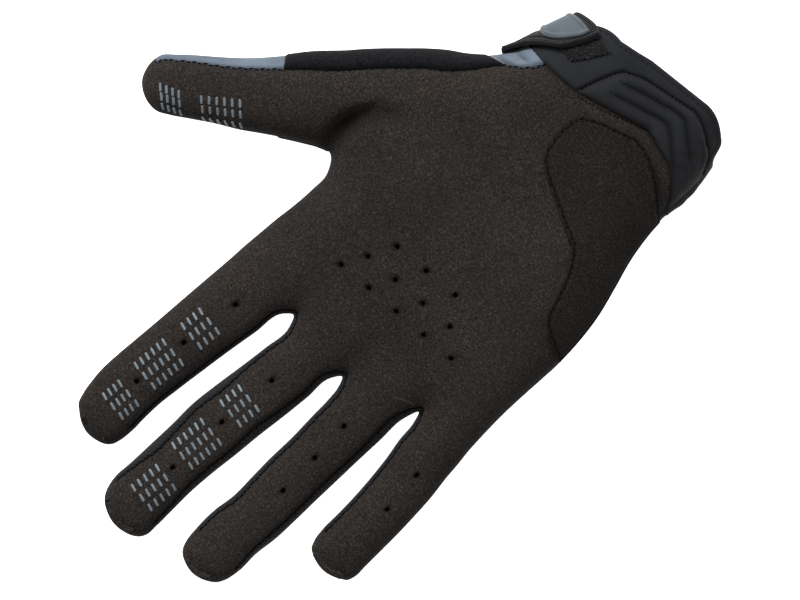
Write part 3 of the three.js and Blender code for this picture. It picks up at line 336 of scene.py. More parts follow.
# %% Distances to lines
def distance_to(p, line):
    """Distance from plan points to a line of short chords: to the nearest of its points first, by the
    expanded square, then to the two chords that meet there."""
    flat = p.reshape(-1, p.shape[-1])
    out = np.empty(len(flat))
    for start in range(0, len(flat), batch):
        q = flat[start:start + batch]
        near = np.argmin((line ** 2).sum(1) - 2 * q @ line.T, axis=1)
        best = np.full(len(q), np.inf)
        for shift in (-1, 0):
            i = np.clip(near + shift, 0, len(line) - 2)
            a, b = line[i], line[i + 1]
            t = np.clip(((q - a) * (b - a)).sum(1) / np.maximum(((b - a) ** 2).sum(1), 1e-12), 0, 1)
            best = np.minimum(best, np.linalg.norm(q - a - (b - a) * t[:, None], axis=1))
        out[start:start + batch] = best
    return out.reshape(p.shape[:-1])


def run_on(line, length):
    """The line with both its ends run on straight, by a length cut into half millimetres."""
    t = np.linspace(1, 0, 2 * length, endpoint=False)[:, None] * length
    before, after = unit(line[0] - line[1]), unit(line[-1] - line[-2])
    return np.concatenate([line[0] + before * t, line, line[-1] + after * t[::-1]])


long_edge = run_on(edge_line, 12)      # so that the cuff's height doesn't change at its mouth
print("fullness over the knuckles:", fullness_at(np.array([0, .6]) * hand).round(1), "mm")

# %% [markdown]
# Where the thumb joins the palm the suede folds into a deep crease, and worn cloth is never quite flat.
# A cloth simulation could find such folds, but not in their places. Each fold here is a valley along a curve
# that is taken off the height, so it lies where it does on the glove.

# %% Folds and ripples of the cloth
ripple_size = .5
# Folds: from, by way of, to, as shares of palm width and length, then depth and the width of each of its
# two slopes, ulnar and radial, in mm
folds = [((.515, .275), (.563, .168), (.508, .108), 4.8, 5, 2.4),
         ((.5, .11), (.47, .075), (.41, .06), 1.6, 4, 3),
         ((.16, .59), (.17, .53), (.19, .46), .9, 5, 5),
         ((-.11, .59), (-.11, .53), (-.1, .45), .9, 5, 5)]
fold_points = 25
print("folds:", len(folds), "- the deepest", max(fold[3] for fold in folds), "mm")


def bell(x, width):
    """Gauss's bell: e to the minus of x over width, squared."""
    return np.exp(-(x / width) ** 2)


def fold_depth(p):
    """Sum of the folds' valleys. A valley's floor is a quadratic curve and its section a bell, wider on one
    side than on the other, that fades at the curve's ends."""
    total = np.zeros(p.shape[:-1])
    t = np.linspace(0, 1, fold_points)[:, None]
    taper = np.sin(np.pi * (np.arange(fold_points) + 3) / (fold_points + 5))
    for start, way, end, depth, ulnar_slope, radial_slope in folds:
        a, b, c = (hand * q for q in (start, way, end))
        floor = a * (1 - t) ** 2 + 2 * b * t * (1 - t) + c * t * t
        away = p[..., None, :] - floor
        slope = np.where(away[..., 0] < 0, ulnar_slope, radial_slope)
        total += depth * (taper * bell(np.linalg.norm(away, axis=-1), slope)).max(axis=-1)
    return total


def ripples(p):
    """Slow unevenness of worn cloth: four sine waves that run different ways."""
    x, y = p[..., 0], p[..., 1]
    return (.22 * np.sin(x / 7.1 + y / 11.3 + 1) + .2 * np.sin(x / 12.7 - y / 8.9 + 2.3)
            + .12 * np.sin(x / 4.3 - y / 6.1) + .1 * np.sin(x / 5.7 + y / 3.9 + 4))


# %% The height function
def height(p, side):
    """Height at plan points, palm side (1) or back (-1): middle plus reach times a quarter ellipse of the
    distance in from the outline, less the folds."""
    full = fullness_at(p)
    inset = distance_to(p, long_edge)
    middle, up, down, turn = (full[..., k] for k in range(4))
    if side < 0:
        return middle - down * quarter_round(inset / (turn * back_round_share))
    return middle + (up + ripple_size * ripples(p) - fold_depth(p)) * quarter_round(inset / turn)


def laid(p, side=1):
    """Plan points set on the glove's surface."""
    return np.concatenate([p, height(p, side)[..., None]], axis=-1)


def surface_normal(p, side=1):
    """Outward normal at plan points, from height differences half a millimetre each way."""
    dx, dy = np.array([.5, 0]), np.array([0, .5])
    sx = height(p + dx, side) - height(p - dx, side)
    sy = height(p + dy, side) - height(p - dy, side)
    return unit(np.stack([-sx, -sy, np.ones_like(sx)], axis=-1) * side)


print("the palm's middle is", height(np.array([0., 30.]), 1).round(1), "mm over the table")

# %% [markdown]
# A strip of the palm runs from the wrist up to a fingertip. Its rows are straight lines between two seams.
# The sides of the fingers are bands that roll over the outline, from the palm-side seam to the back seam.
# Blocks of such grids are gathered for each cloth panel, as its pattern pieces would be, and welded.

# %% Helpers for the grids
blocks = {}


def block(panel, grid, flip=False):
    """Keeps a grid of points for a panel, turned so that its faces look outwards."""
    blocks.setdefault(panel, []).append(grid[:, ::-1] if flip else grid)


def seam_between(first, last):
    """Fine seam points from one station to another, in either order."""
    a, b = fine_at[first], fine_at[last]
    return seam_line[a:b + 1] if a <= b else seam_line[b:a + 1][::-1]


u_fine = np.linspace(0, 1, cells_across * fine_across + 1)[None, :, None]
bow_shape = 4 * u_fine * (1 - u_fine)
late_bow_shape = 6.75 * u_fine ** 2 * (1 - u_fine)      # leaves the first edge's direction as it is


def ruled(left, right, bow, shape=bow_shape):
    """Rows of points between two curves, each bowed by that row's bow vector times the shape, a parabola."""
    return left[:, None] * (1 - u_fine) + right[:, None] * u_fine + bow[:, None] * shape


print("each strip is", u_fine.size - 1, "cells wide")
crotch_of = {"ring": "crotchRing", "apex": "crotchApex", "seam": "crotchSeam"}


def palm_line(line, rows):
    """Fine points of a line between strips, from the wrist seam up to a row of the palm."""
    if line == "ulnar":
        return seam_between("palmU0", f"palmU{rows}")
    if line == "radial":
        return seam_between("palmR0", f"palmR{rows}")
    start = on_cuff(line, 0)
    t = np.linspace(0, 1, min(rows, web_row if line == "web" else rows) * fine_along + 1)[:, None]
    if line != "web":
        return start + (seam_line[fine_at[crotch_of[line]]] - start) * t
    lower = start + (seam_line[fine_at[f"palmI{web_row}"]] - start) * t
    if rows <= web_row:
        return lower
    return np.concatenate([lower[:-1], seam_between(f"palmI{web_row}", f"palmI{rows}")])


# %% Strips of the palm and the digits
thumb_tip_from, gusset_to = 2, 2      # rows where the thumb's back changes from one cloth to the next
for s, name in enumerate(strip_names):
    left, right = line_names[s], line_names[s + 1]
    rows = web_row if name == "thumb" else palm_rows
    fade = np.clip(1 - np.arange(rows * fine_along + 1) / fine_along, 0, 1)[:, None]
    palm = ruled(palm_line(left, rows), palm_line(right, rows), fade * np.array(bows[name][0]))

    digit, last = digits[name], last_row(name)
    ends = {"ulnar": f"palmU{rows}", "web": f"palmI{rows}", "radial": f"palmR{rows}"}
    lower, upper = ends.get(left, crotch_of.get(left)), ends.get(right, crotch_of.get(right))
    crowns = np.array([0] + [row["crown"] for row in digit["rows"]]) * digit["width"]
    at = np.arange((last + 1) * fine_along + 1) / fine_along
    bow = np.interp(at, np.arange(last + 2), crowns)[:, None] * digit["up"]
    finger = ruled(seam_between(lower, f"{name}U{last}"), seam_between(upper, f"{name}R{last}"), bow)
    tip = seam_between(f"{name}U{last}", f"{name}R{last}")
    finger += np.clip(at - last, 0, 1)[:, None, None] ** 2 * (tip - finger[-1])

    block("palm_panel", laid(palm))
    block("palm_panel", laid(finger))
    backs = [("back_panel", palm), ("back_panel", finger)]
    if name == "thumb":
        cut, tip_cut = gusset_to * fine_along, (thumb_tip_from + 1) * fine_along
        backs = [("thumb_gusset", palm[:cut + 1]), ("thumb_wipe", palm[cut:]),
                 ("thumb_wipe", finger[:tip_cut + 1]), ("thumb_tip_back", finger[tip_cut:])]
    for piece, grid in backs:
        block(piece, laid(grid, -1), True)
print("blocks of the strips:", {name: len(grids) for name, grids in blocks.items()})

# %% Sides: from the palm-side seam over the outline to the back seam
away = np.linspace(1, -1, fine_round + 1)
side_plan = edge_line[:, None] + (seam_line - edge_line)[:, None] * (away ** 2)[None, :, None]
side_height = np.where(away > 0, height(side_plan, 1), height(side_plan, -1))
side_height[:, fine_round // 2] = fullness_at(edge_line)[:, 0]
side_grid = np.concatenate([side_plan, side_height[..., None]], axis=-1)
print("sides:", len(side_grid), "by", len(side_grid[0]), "points")


def side_block(panel, first, last, low=-1, high=1):
    """Part of the sides between two stations, and between two shares of the way round (1 palm, -1 back)."""
    m = np.where((away >= low - 1e-9) & (away <= high + 1e-9))[0]
    a, b = fine_at[first], fine_at[last]
    block(panel, side_grid[a:b + 1, m[0]:m[-1] + 1], True)


side_block("cuff_wrap", f"cuffU{cuff_rows}", f"cuffU{rib_rows}")
side_block("cuff_wrap", f"cuffU{rib_rows}", "palmU0", -1, .5)
side_block("cuff_palm_panel", f"cuffU{rib_rows}", "palmU0", .5, 1)
side_to = {name: last_row(name) - 3 for name in strip_names}    # the row where a finger's side panel ends
starts = ["palmU0"] + [f"{name}U{side_to[name]}" for name in ("ring", "middle", "index")]
stops = [f"{name}R{side_to[name]}" for name in ("little", "ring", "middle")] + [f"palmI{web_row}"]
for first, last in zip(starts, stops):
    side_block("palm_panel", first, last, 0, 1)
    side_block("back_panel", first, last, -1, 0)
between_fingers = ("ring_little", "middle_ring", "index_middle")
for between, first, last in zip(between_fingers, stops, starts[1:]):
    side_block(f"fourchette_{between}", first, last)
thumb_last = last_row("thumb")
side_block("palm_panel", f"palmI{web_row}", f"thumbR{thumb_last}", 0, 1)
side_block("thumb_wipe", f"palmI{web_row}", f"thumbU{thumb_tip_from}", -1, 0)
side_block("thumb_tip_back", f"thumbU{thumb_tip_from}", f"thumbR{thumb_last}", -1, 0)
side_block("thumb_tip_back", f"thumbR{thumb_last}", f"thumbR{thumb_tip_from}")
side_block("thumb_wipe", f"thumbR{thumb_tip_from}", f"palmR{gusset_to}")
side_block("thumb_gusset", f"palmR{gusset_to}", "palmR0")
side_block("cuff_wrap", "palmR0", f"cuffR{cuff_rows}")

# %% Grids of the cuff
rows_fine = np.concatenate([j + np.arange(n) / n for j, n in enumerate(cuff_steps)] + [[cuff_rows]])
cuff_line_points = {line: on_cuff(line, np.interp(rows_fine, np.arange(cuff_rows + 1), cuff_shares[line]))
                    for line in line_names}
cuff_line_points["ulnar"] = seam_between("palmU0", f"cuffU{cuff_rows}")
cuff_line_points["radial"] = seam_between("palmR0", f"cuffR{cuff_rows}")
ulnar_share = np.interp(rows_fine, np.arange(cuff_rows + 1), cuff_shares["ulnar"])[:, None]
cuff_plan = []
for s, name in enumerate(strip_names):
    bow = np.array(bows[name][0]) * (1 - ulnar_share) + np.array(bows[name][1]) * ulnar_share
    to_mouth = ulnar_share[:, :, None] if s == 0 else 0
    shape = bow_shape * (1 - to_mouth) + late_bow_shape * to_mouth
    grid = ruled(cuff_line_points[line_names[s]], cuff_line_points[line_names[s + 1]], bow, shape)
    cuff_plan.append(grid if s == 0 else grid[:, 1:])
cuff_plan = np.concatenate(cuff_plan, axis=1)
ribbed_rows, ribbed_columns = rib_rows * fine_rib, 3 * cells_across * fine_across
corner = cuff_plan[ribbed_rows, ribbed_columns]
corner_shift, corner_reach = np.array([.3, 1.9]), 4.2      # rounds the ribbed panel's outer corner, in mm
cuff_plan += corner_shift * bell(np.linalg.norm(cuff_plan - corner, axis=-1), corner_reach)[..., None]
cuff_palm = laid(cuff_plan)
block("cuff_palm_panel", cuff_palm[:ribbed_rows + 1, :ribbed_columns + 1], True)
block("cuff_wrap", cuff_palm[ribbed_rows:, :ribbed_columns + 1], True)
block("cuff_wrap", cuff_palm[:, ribbed_columns:], True)
block("cuff_wrap", laid(cuff_plan, -1))
mouth = np.concatenate([side_grid[0, :, :2], cuff_plan[-1], side_grid[-1, :, :2]])
print("panels:", {name: sum(g.shape[0] * g.shape[1] for g in grids) for name, grids in blocks.items()})

# %% [markdown]
# The ribs of the cuff are neoprene, sewn down along three chevron grooves and pulled in by the thread.
# They could be sculpted by hand. Here the height over the cuff falls off as e to the minus of the distance
# to the nearest groove, which gives the round back and the sharp valley of quilting.

# %% Grooves of the ribbed panel and creases of the cloth
rib_grooves = [  # points in the drawing's mm, share of the full depth, length over which the ends fade
    ([(10.5, -41.4), (7.5, -42.2), (4, -43.5), (-1, -45.5), (-5, -47.6), (-10, -50.2), (-14, -52),
      (-17, -51.9)], 1, 3),
    ([(4.6, -50.4), (0, -51.8), (-5, -53.7), (-10, -55.7), (-15, -57.6), (-17, -57.7), (-20, -56.3),
      (-24, -53.5), (-28, -50.6), (-32, -48.6)], .85, 3),
    ([(5.2, -54.9), (0, -56.8), (-5, -59), (-10, -60.7), (-15, -62.7), (-19, -63.2), (-22, -61.5),
      (-26, -58.8), (-30, -56), (-33.5, -53.5)], .85, 3),
    ([(-25, -57), (-29.5, -54.2), (-33, -51), (-35, -48)], .35, 3),
    ([(-25, -64.5), (-29, -62), (-32.5, -58.5), (-34.5, -54)], .5, 3)]
rib_rise, rib_reach = 2.3, 1.7
rib_border = [cuff_plan[0, :ribbed_columns + 1], cuff_plan[ribbed_rows, :ribbed_columns + 1],
              cuff_plan[:ribbed_rows + 1, ribbed_columns], cuff_plan[:ribbed_rows + 1, 0]]


def fading(p, points, length):
    """1 along a line, and down to 0 at its two ends: 1 less a bell of the distance to each end."""
    ends = [1 - bell(np.linalg.norm(p - np.array(q), axis=-1), length) for q in (points[0], points[-1])]
    return ends[0] * ends[1]


def rib_relief(p):
    """Height of the ribs over the cuff: the rise, times for each groove and border 1 less its valley, where a
    valley is e to the minus of the distance to the line."""
    share = np.prod([1 - np.exp(-distance_to(p, line) / rib_reach) for line in rib_border], axis=0)
    for points, depth, fade in rib_grooves:
        away = distance_to(p, evenly(points, 60))
        share = share * (1 - depth * fading(p, points, fade) * np.exp(-away / rib_reach))
    slack = .3 * smoothstep(p[..., 0], -20, -33) * np.sin(p[..., 0] * .9 - p[..., 1] * 1.1)
    return (rib_rise + slack) * share


def rib_groove_shade(p):
    """Painted shade in the ribs' grooves: the deepest groove's bell."""
    return np.max([depth * fading(p, points, fade) * bell(distance_to(p, evenly(points, 60)), 1)
                   for points, depth, fade in rib_grooves], axis=0)


# %% Creases of the gusset and the cuff's hem
def creased(p, lines):
    """Depth of fine creases: for each line its depth, times a bell of the distance, fading at the ends."""
    return sum(depth * fading(p, points, 1.5) * bell(distance_to(p, evenly(points, 30)), width)
               for points, depth, width in lines)


gusset_creases = [  # points, depth and width in mm
    ([(29.4, -33.2), (32.5, -31.3), (37.5, -30.1)], 1.3, .8),
    ([(28, -36.8), (31, -36.1), (34.6, -35.6)], 1.1, .7),
    ([(30, -34.6), (33.6, -33.6)], .6, .6)]
hem_width, hem_groove, hem_drop = 1.9, .28, .7


def hem_relief(p):
    """The cuff's hem: a stitched groove inside the mouth, and a rim that drops as a quarter circle."""
    away = distance_to(p, mouth)
    return -hem_groove * bell(away - hem_width, .45) - hem_drop * (1 - quarter_round(away))


print(len(rib_grooves), "grooves, ribs", rib_rise, "mm high")


# %% [markdown]
# A cloth panel is thin. At a seam it is turned under and pulled down by the thread, so each welded grid dips
# towards its sewn border. Its wall comes from a Solidify modifier, which keeps the face where it is.

# %% Weld the grids of a panel
def place(points):
    """Millimetres of the drawing to metres of the frame."""
    return (points - np.array([*frame_middle, 0])) * MM


def quads_of(index):
    """The quads between neighbours in a grid of point numbers."""
    corners = [index[:-1, :-1], index[:-1, 1:], index[1:, 1:], index[1:, :-1]]
    return np.stack(corners, axis=-1).reshape(-1, 4)


def welded(grids):
    """One list of points and quads from several grids: points that agree to a hundredth of a mm are one."""
    points, quads, base = [], [], 0
    for g in grids:
        r, c = g.shape[:2]
        quads.append(quads_of(np.arange(r * c).reshape(r, c) + base))
        points.append(g.reshape(-1, 3))
        base += r * c
    points, quads = np.concatenate(points), np.concatenate(quads)
    hundredths = np.round(points * 100).astype(np.int64)
    _, first, same = np.unique(hundredths, axis=0, return_index=True, return_inverse=True)
    return points[first], same.ravel()[quads]


# %% Normals, borders and areas
def crossed(points, quads):
    """Cross product of each quad's diagonals: its normal, twice as long as its area."""
    a, b, c, d = (points[quads[:, k]] for k in range(4))
    return np.cross(c - a, d - b)


def normals_of(points, quads):
    """Unit normal of each point: the sum of its quads' diagonal cross products."""
    n = crossed(points, quads)
    out = np.zeros_like(points)
    for k in range(4):
        np.add.at(out, quads[:, k], n)
    return unit(out)


def border_of(quads):
    """Edges that belong to one quad only."""
    edges = np.concatenate([quads[:, [k, (k + 1) % 4]] for k in range(4)])
    _, index, count = np.unique(np.sort(edges, axis=1), axis=0, return_index=True, return_counts=True)
    return edges[index[count == 1]]


def nearest(p, q):
    """Distance from each point of p to the nearest of q, by the expanded square."""
    out = np.full(len(p), np.inf)
    for start in range(0, len(p) if len(q) else 0, batch):
        part = p[start:start + batch]
        squares = (part ** 2).sum(1)[:, None] + (q ** 2).sum(1) - 2 * part @ q.T
        out[start:start + batch] = np.sqrt(np.maximum(squares.min(axis=1), 0))
    return out


def area_of(points, quads):
    """Half the lengths of the quads' diagonal cross products, added up, in square metres."""
    return np.linalg.norm(crossed(points, quads), axis=1).sum() / 2 * MM ** 2


print("grids to weld:", sum(len(grids) for grids in blocks.values()))


# %% Make a panel's mesh
def mesh_object(name, points, faces, body="root"):
    """A smooth mesh object in the frame, from points in mm, that rides on the body. A fourth column of the
    points is the attribute seam: how much the colour is darkened, as pressed cloth and painted shade."""
    mesh = bpy.data.meshes.new(name)
    mesh.from_pydata(place(points[:, :3]).tolist(), [], faces if isinstance(faces, list) else faces.tolist())
    mesh.shade_smooth()
    if points.shape[1] > 3:
        mesh.attributes.new("seam", "FLOAT", "POINT").data.foreach_set("value", points[:, 3])
    obj = bpy.data.objects.new(name, mesh)
    bpy.context.scene.collection.objects.link(obj)
    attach(obj, body)
    return obj


def walled(obj, wall):
    """Gives a sheet its wall, inwards from the face it has."""
    solid = obj.modifiers.new("wall", "SOLIDIFY")
    solid.thickness = wall * MM
    solid.offset = -1


# %% Sew a panel
sewn_lines = [seam_line, cuff_plan[0]] + rib_border[1:3]
pull_width, seam_shade_width = .8, .7      # how far from a seam, in mm, the cloth is pulled down, and darkened as pressed cloth and painted shade
side_dip, side_width = .04, .5        # the same pull at a border that isn't sewn on the palm side


def panel(name, wall, cut, dip=.6, holes=(), rise=0, relief=None, shade_mask=None, padded=False):
    """A cloth panel. Its face sinks by dip times a bell of the distance to a sewn border and by a little at
    any other border, stands proud by rise away from them, and gets the relief of its plan points. Beside its
    seams the colour is darkened, partly as pressed cloth and partly as painted shade, and the shade mask gives
    where painted shade darkens it besides its seams. cut: the flat piece's width, length and area in metres,
    not used."""
    points, quads = welded(blocks[name])
    normals = normals_of(points, quads)
    ring = np.unique(border_of(quads))
    free = nearest(points[ring, :2], mouth) < .02
    to_line = np.min([distance_to(points[ring, :2], line) for line in sewn_lines], axis=0)
    sewn = (to_line < .2) & (normals[ring, 2] > -.3)
    to_seam = nearest(points, points[ring[sewn & ~free]])
    to_side = nearest(points, points[ring[~sewn & ~free]])
    lift = -dip * bell(to_seam, pull_width) - side_dip * bell(to_side, side_width)
    lift += rise * smoothstep(np.minimum(to_seam, to_side), 0, 1.1)
    if relief:
        lift += relief(points[:, :2]) * smoothstep(np.abs(normals[:, 2]), .1, .45)
    # Darkening beside the seams, partly pressed cloth and partly painted shade, then painted shade from the
    # shade mask.
    press_and_shade = bell(to_seam, seam_shade_width)
    if shade_mask:
        press_and_shade = np.maximum(press_and_shade, shade_mask(points[:, :2]))
    points = np.column_stack([points + normals * lift[:, None], press_and_shade])
    if len(holes):
        points, quads = pierced(points, quads, np.asarray(holes))
    obj = mesh_object(name + "_cloth", points, quads)
    walled(obj, wall)
    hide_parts(name)
    surface = area_of(points[:, :3], quads)
    return obj


# %% Punch holes in a grid
def pierced(points, quads, holes):
    """Cuts round holes: the quads round the point nearest to each hole go, and the eight points round it
    are moved on to a circle in plan."""
    keep = np.ones(len(quads), bool)
    points = points.copy()
    for x, y in holes:
        middle = np.argmin(((points[:, :2] - (x, y)) ** 2).sum(1) + 1e3 * (points[:, 2] < vent_floor))
        touching = (quads == middle).any(axis=1)
        keep &= ~touching
        ring = np.setdiff1d(np.unique(quads[touching]), [middle])
        points[ring, :2] = np.array([x, y]) + unit(points[ring, :2] - (x, y)) * vent_diameter / 2
        # The hole's rim is darkened with painted shade.
        points[ring, 3] = vent_rim_shade
    quads = quads[keep]
    used, quads = np.unique(quads, return_inverse=True)
    return points[used], quads.reshape(-1, 4)


# %% [markdown]
# Small holes punched through the suede let the hand breathe. A boolean could cut them out of the solid.
# Here the quads round each hole are left out of the grid and their rim is moved on to a circle, which keeps
# the mesh clean and lets the cloth's wall show inside the hole.

# %% Vents
vent_diameter, vent_floor, vent_rim_shade = 1.8, 8, .8      # width and least height in mm, and how dark the painted shade at each hole's rim is
palm_vents = [(x + i * sx, y + i * sy) for x, y, sx, sy, n in
              ((-.302, .359, .1195, .0155, 5), (-.219, .309, .1193, .0153, 4), (-.148, .246, .125, .0173, 3))
              for i in range(n)]
digit_vents = [("index", .135, -.9), ("index", .415, .5), ("index", .685, .7), ("middle", .18, .6),
               ("middle", .43, .8), ("middle", .685, -.2), ("ring", .14, .3), ("ring", .315, -.6),
               ("ring", .5, -1.2), ("little", .215, -3), ("little", .48, -3.2)]
vents = [tuple(hand * v) for v in palm_vents] + [
    tuple(digits[n]["root"] + digits[n]["up"] * a * digits[n]["length"] + digits[n]["side"] * off)
    for n, a, off in digit_vents]
print(len(vents), "vents,", vent_diameter, "mm wide")

# %% [markdown]
# The panels, each cut flat from suede, knit, mesh or neoprene and sewn to its neighbours.
# The sizes of the flat cuts are what such a glove's pattern pieces measure; no cloth simulation is needed,
# because the cloth is held to its form by its seams.

# %% Panels of the hand
# Painted shade in the folds: the colour darkens with the fold's depth.
fold_shade = lambda p: np.minimum(fold_depth(p) / 5, .9)
palm = panel("palm_panel", 1.2, (.19, .25, .021), holes=vents, shade_mask=fold_shade)
back = panel("back_panel", 1.2, (.13, .25, .0183))
side_cuts = {"index_middle": (.014, .155, .0013), "middle_ring": (.014, .15, .0014),
             "ring_little": (.014, .125, .0012)}
side_panels = [panel(f"fourchette_{between}", 1, cut, dip=.5) for between, cut in side_cuts.items()]

# %% Panels of the thumb and the cuff
tip_back = panel("thumb_tip_back", 1.2, (.035, .06, .002))
wipe = panel("thumb_wipe", 1.6, (.05, .09, .0031), rise=.45)
gusset_depth = lambda p: creased(p, gusset_creases)
# The gusset's creases are sunk and also darkened with painted shade.
gusset = panel("thumb_gusset", 1.2, (.022, .03, .0004), relief=lambda p: -gusset_depth(p),
               shade_mask=lambda p: np.minimum(.8 * gusset_depth(p), 1))
cuff_front = panel("cuff_palm_panel", 2, (.06, .04, .001), relief=rib_relief, shade_mask=rib_groove_shade, padded=True)
cuff = panel("cuff_wrap", 2, (.16, .05, .003), relief=hem_relief)

# %% [markdown]
# The heel pad, the strap, its patch and its badge are layers that lie on the glove.
# Each could be a box bent by a modifier, but a grid of points on the surface below, lifted along its normals,
# follows the glove exactly and keeps an even thickness. The edge rounds off as a quarter circle.

# %% Layers that lie on the glove
def layer(name, grid, lift, thickness, edge=.6, relief=None, shade_mask=None):
    """A closed slab on a grid: under side at lift, upper side at lift plus thickness, which falls off near
    the rim as a quarter circle of radius edge. relief gives what the distance to the rim adds to the upper
    side, and the shade mask how much painted shade darkens it there. Gives the object, its upper side
    and the normals."""
    n = unit(np.cross(np.gradient(grid, axis=1), np.gradient(grid, axis=0)))
    r, c = grid.shape[:2]
    rim = np.concatenate([grid[0], grid[:, -1], grid[-1][::-1], grid[:, 0][::-1]])
    away = nearest(grid.reshape(-1, 3), rim).reshape(r, c)
    fall = 1 - quarter_round(away / edge)
    top = thickness - fall * min(edge, thickness * .8) + (0 if relief is None else relief(away))
    lift = np.broadcast_to(lift, (r, c))
    under, over = grid + n * lift[..., None], grid + n * (lift + top)[..., None]
    index = np.arange(r * c).reshape(r, c)
    loop = np.concatenate([index[0], index[1:, -1], index[-1, :-1][::-1], index[1:-1, 0][::-1]])
    ahead = np.roll(loop, -1)
    wall = np.stack([loop, ahead, ahead + r * c, loop + r * c], axis=1)
    faces = np.concatenate([quads_of(index) + r * c, quads_of(index)[:, ::-1], wall])
    print(f"{name}: {len(faces)} faces")
    # Painted shade, on the upper side only.
    press_and_shade = np.zeros((2, r, c))
    press_and_shade[1] = 0 if shade_mask is None else shade_mask(away)
    points = np.column_stack([np.concatenate([under.reshape(-1, 3), over.reshape(-1, 3)]), press_and_shade.ravel()])
    points[:, 2] = np.maximum(points[:, 2], 0)      # nothing sinks into the table
    return mesh_object(name, points, faces), over, n


# %% [markdown]
# The heel pad is a second layer of suede, sewn on where the hand leans on the handlebar.
# It could be cut from the palm's own mesh. A grid between two curves, the glove's edge and the pad's inner
# edge, has cells that run with the pad's outline, so its stitched groove comes out smooth.

# %% The heel pad
# Height on the hand of its edge on the glove's side, and its inner edge as shares of palm width and length
pad_rows = np.array([
    (.155, -.49, .143), (.1, -.41, .112), (.06, -.36, .035), (.02, -.318, -.026), (-.01, -.272, -.064),
    (-.04, -.19, -.086), (-.07, -.1, -.112), (-.1, -.025, -.134), (-.13, .023, -.162), (-.16, .043, -.2),
    (-.19, .053, -.25), (-.215, .047, -.292), (-.24, 0, -.324), (-.26, -.07, -.35), (-.278, -.133, -.373)])
pad_bow, pad_lift, pad_thickness = .028, .4, 1.1
pad_steps, pad_across = 150, 70


def across_at(y, line):
    """How far across the hand a line is at given heights on the hand."""
    order = np.argsort(line[:, 1])
    return np.interp(y, line[order, 1], line[order, 0])


inner = evenly(pad_rows[:, 1:] * hand, pad_steps)
outer_y = pad_rows[:, 0] * palm_length
outer = evenly(np.column_stack([across_at(outer_y, evenly(ulnar_edge, 400)), outer_y]), pad_steps) + (1, 0)
v = np.linspace(0, 1, pad_steps + 1)[:, None, None]
u = np.linspace(0, 1, pad_across + 1)
u = (u ** 1.3 * (1 - u) + u * u)[None, :, None]
pad_plan = outer[:, None] * (1 - u) + inner[:, None] * u
pad_plan = pad_plan - np.array([0, 1]) * pad_bow * palm_length * v ** 4 * 4 * u * (1 - u)
pad_groove = lambda away: -.45 * bell(away - 1.15, .45) + .15 * bell(away - 2.4, .8)
# Painted shade in the stitched groove and at the pad's rim.
pad_edge_shade = lambda away: np.maximum(.7 * bell(away - 1.15, .5), .9 * bell(away, .35))
pad = layer("heel_pad_cloth", laid(pad_plan)[::-1], pad_lift, pad_thickness, .8, pad_groove, pad_edge_shade)[0]
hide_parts("heel_pad")

# %% [markdown]
# The strap closes the cuff. It comes round from the back over the thumb's side, and its hooks grip a patch of
# loops. A badge of rubber sits on it. A curve modifier could bend flat pieces round the wrist. Here all three
# share one way of measuring instead, how far along the wall from the edge, so they follow the cuff.

# %% Round the wrist's thumb side
radial_line = np.concatenate([radial_side[::-1], on_cuff("radial", cuff_shares["radial"][1:])])


def round_edge(y, way):
    """Points of the wrist's thumb side: y in plan, way the distance along the wall from the edge, positive
    towards the palm and negative towards the back. The wall turns as a quarter circle, then runs flat."""
    x = across_at(y, spline(radial_line, 12))
    full = fullness_at(np.stack([x, y], axis=-1))
    turn = full[..., 3] * np.where(way < 0, back_round_share, 1)
    angle = np.minimum(np.abs(way) / turn, np.pi / 2)
    inset = turn * (1 - np.cos(angle)) + np.maximum(0, np.abs(way) - turn * np.pi / 2)
    p = np.stack([x - inset, y], axis=-1)
    z = np.where(way < 0, height(p, -1), height(p, 1))
    z = np.where(np.abs(way) < 1e-6, fullness_at(p)[..., 0], z)
    return np.concatenate([p, z[..., None]], axis=-1)


print("the strap's edge of the glove is", run_of(radial_line)[-1].round(1), "mm long")

# %% Outlines of the strap, the patch and the badge
# Height on the hand at the edge and at the row's far end, as shares of palm length, and distances along the
# wall in mm: the strap's reach round on to the palm side and its lift, the patch's reach, the badge's ends
strap_rows = np.array([
    (-.456, -.478, 17, .1), (-.45, -.468, 20.6, .1), (-.436, -.445, 20.6, 0), (-.407, -.407, 19.6, 0),
    (-.372, -.372, 17.8, .4), (-.342, -.342, 13.5, 1.2), (-.31, -.31, 9.5, 1.3), (-.27, -.27, 7.2, .8),
    (-.242, -.242, 5, .4)])
patch_rows = np.array([(-.462, -.462, 26.5), (-.41, -.41, 25.5), (-.368, -.368, 23.5)])
badge_rows = np.array([(-.44, -.456, 18.4, -3), (-.425, -.43, 18.3, -6.5), (-.4, -.396, 16.6, -7),
                       (-.378, -.367, 14, -6), (-.364, -.352, 10.3, -2)])
strap_back, strap_gap, strap_thickness = -52, .35, 1.3
patch_width, patch_lift, patch_thickness, badge_thickness = 11, .3, .5, .9
over_patch = 1.5      # how far the strap stands off the cuff where it lies on the loops, in mm
print("strap: from", strap_back, "mm behind the edge to", strap_rows[:, 2].max(), "mm on to the palm")


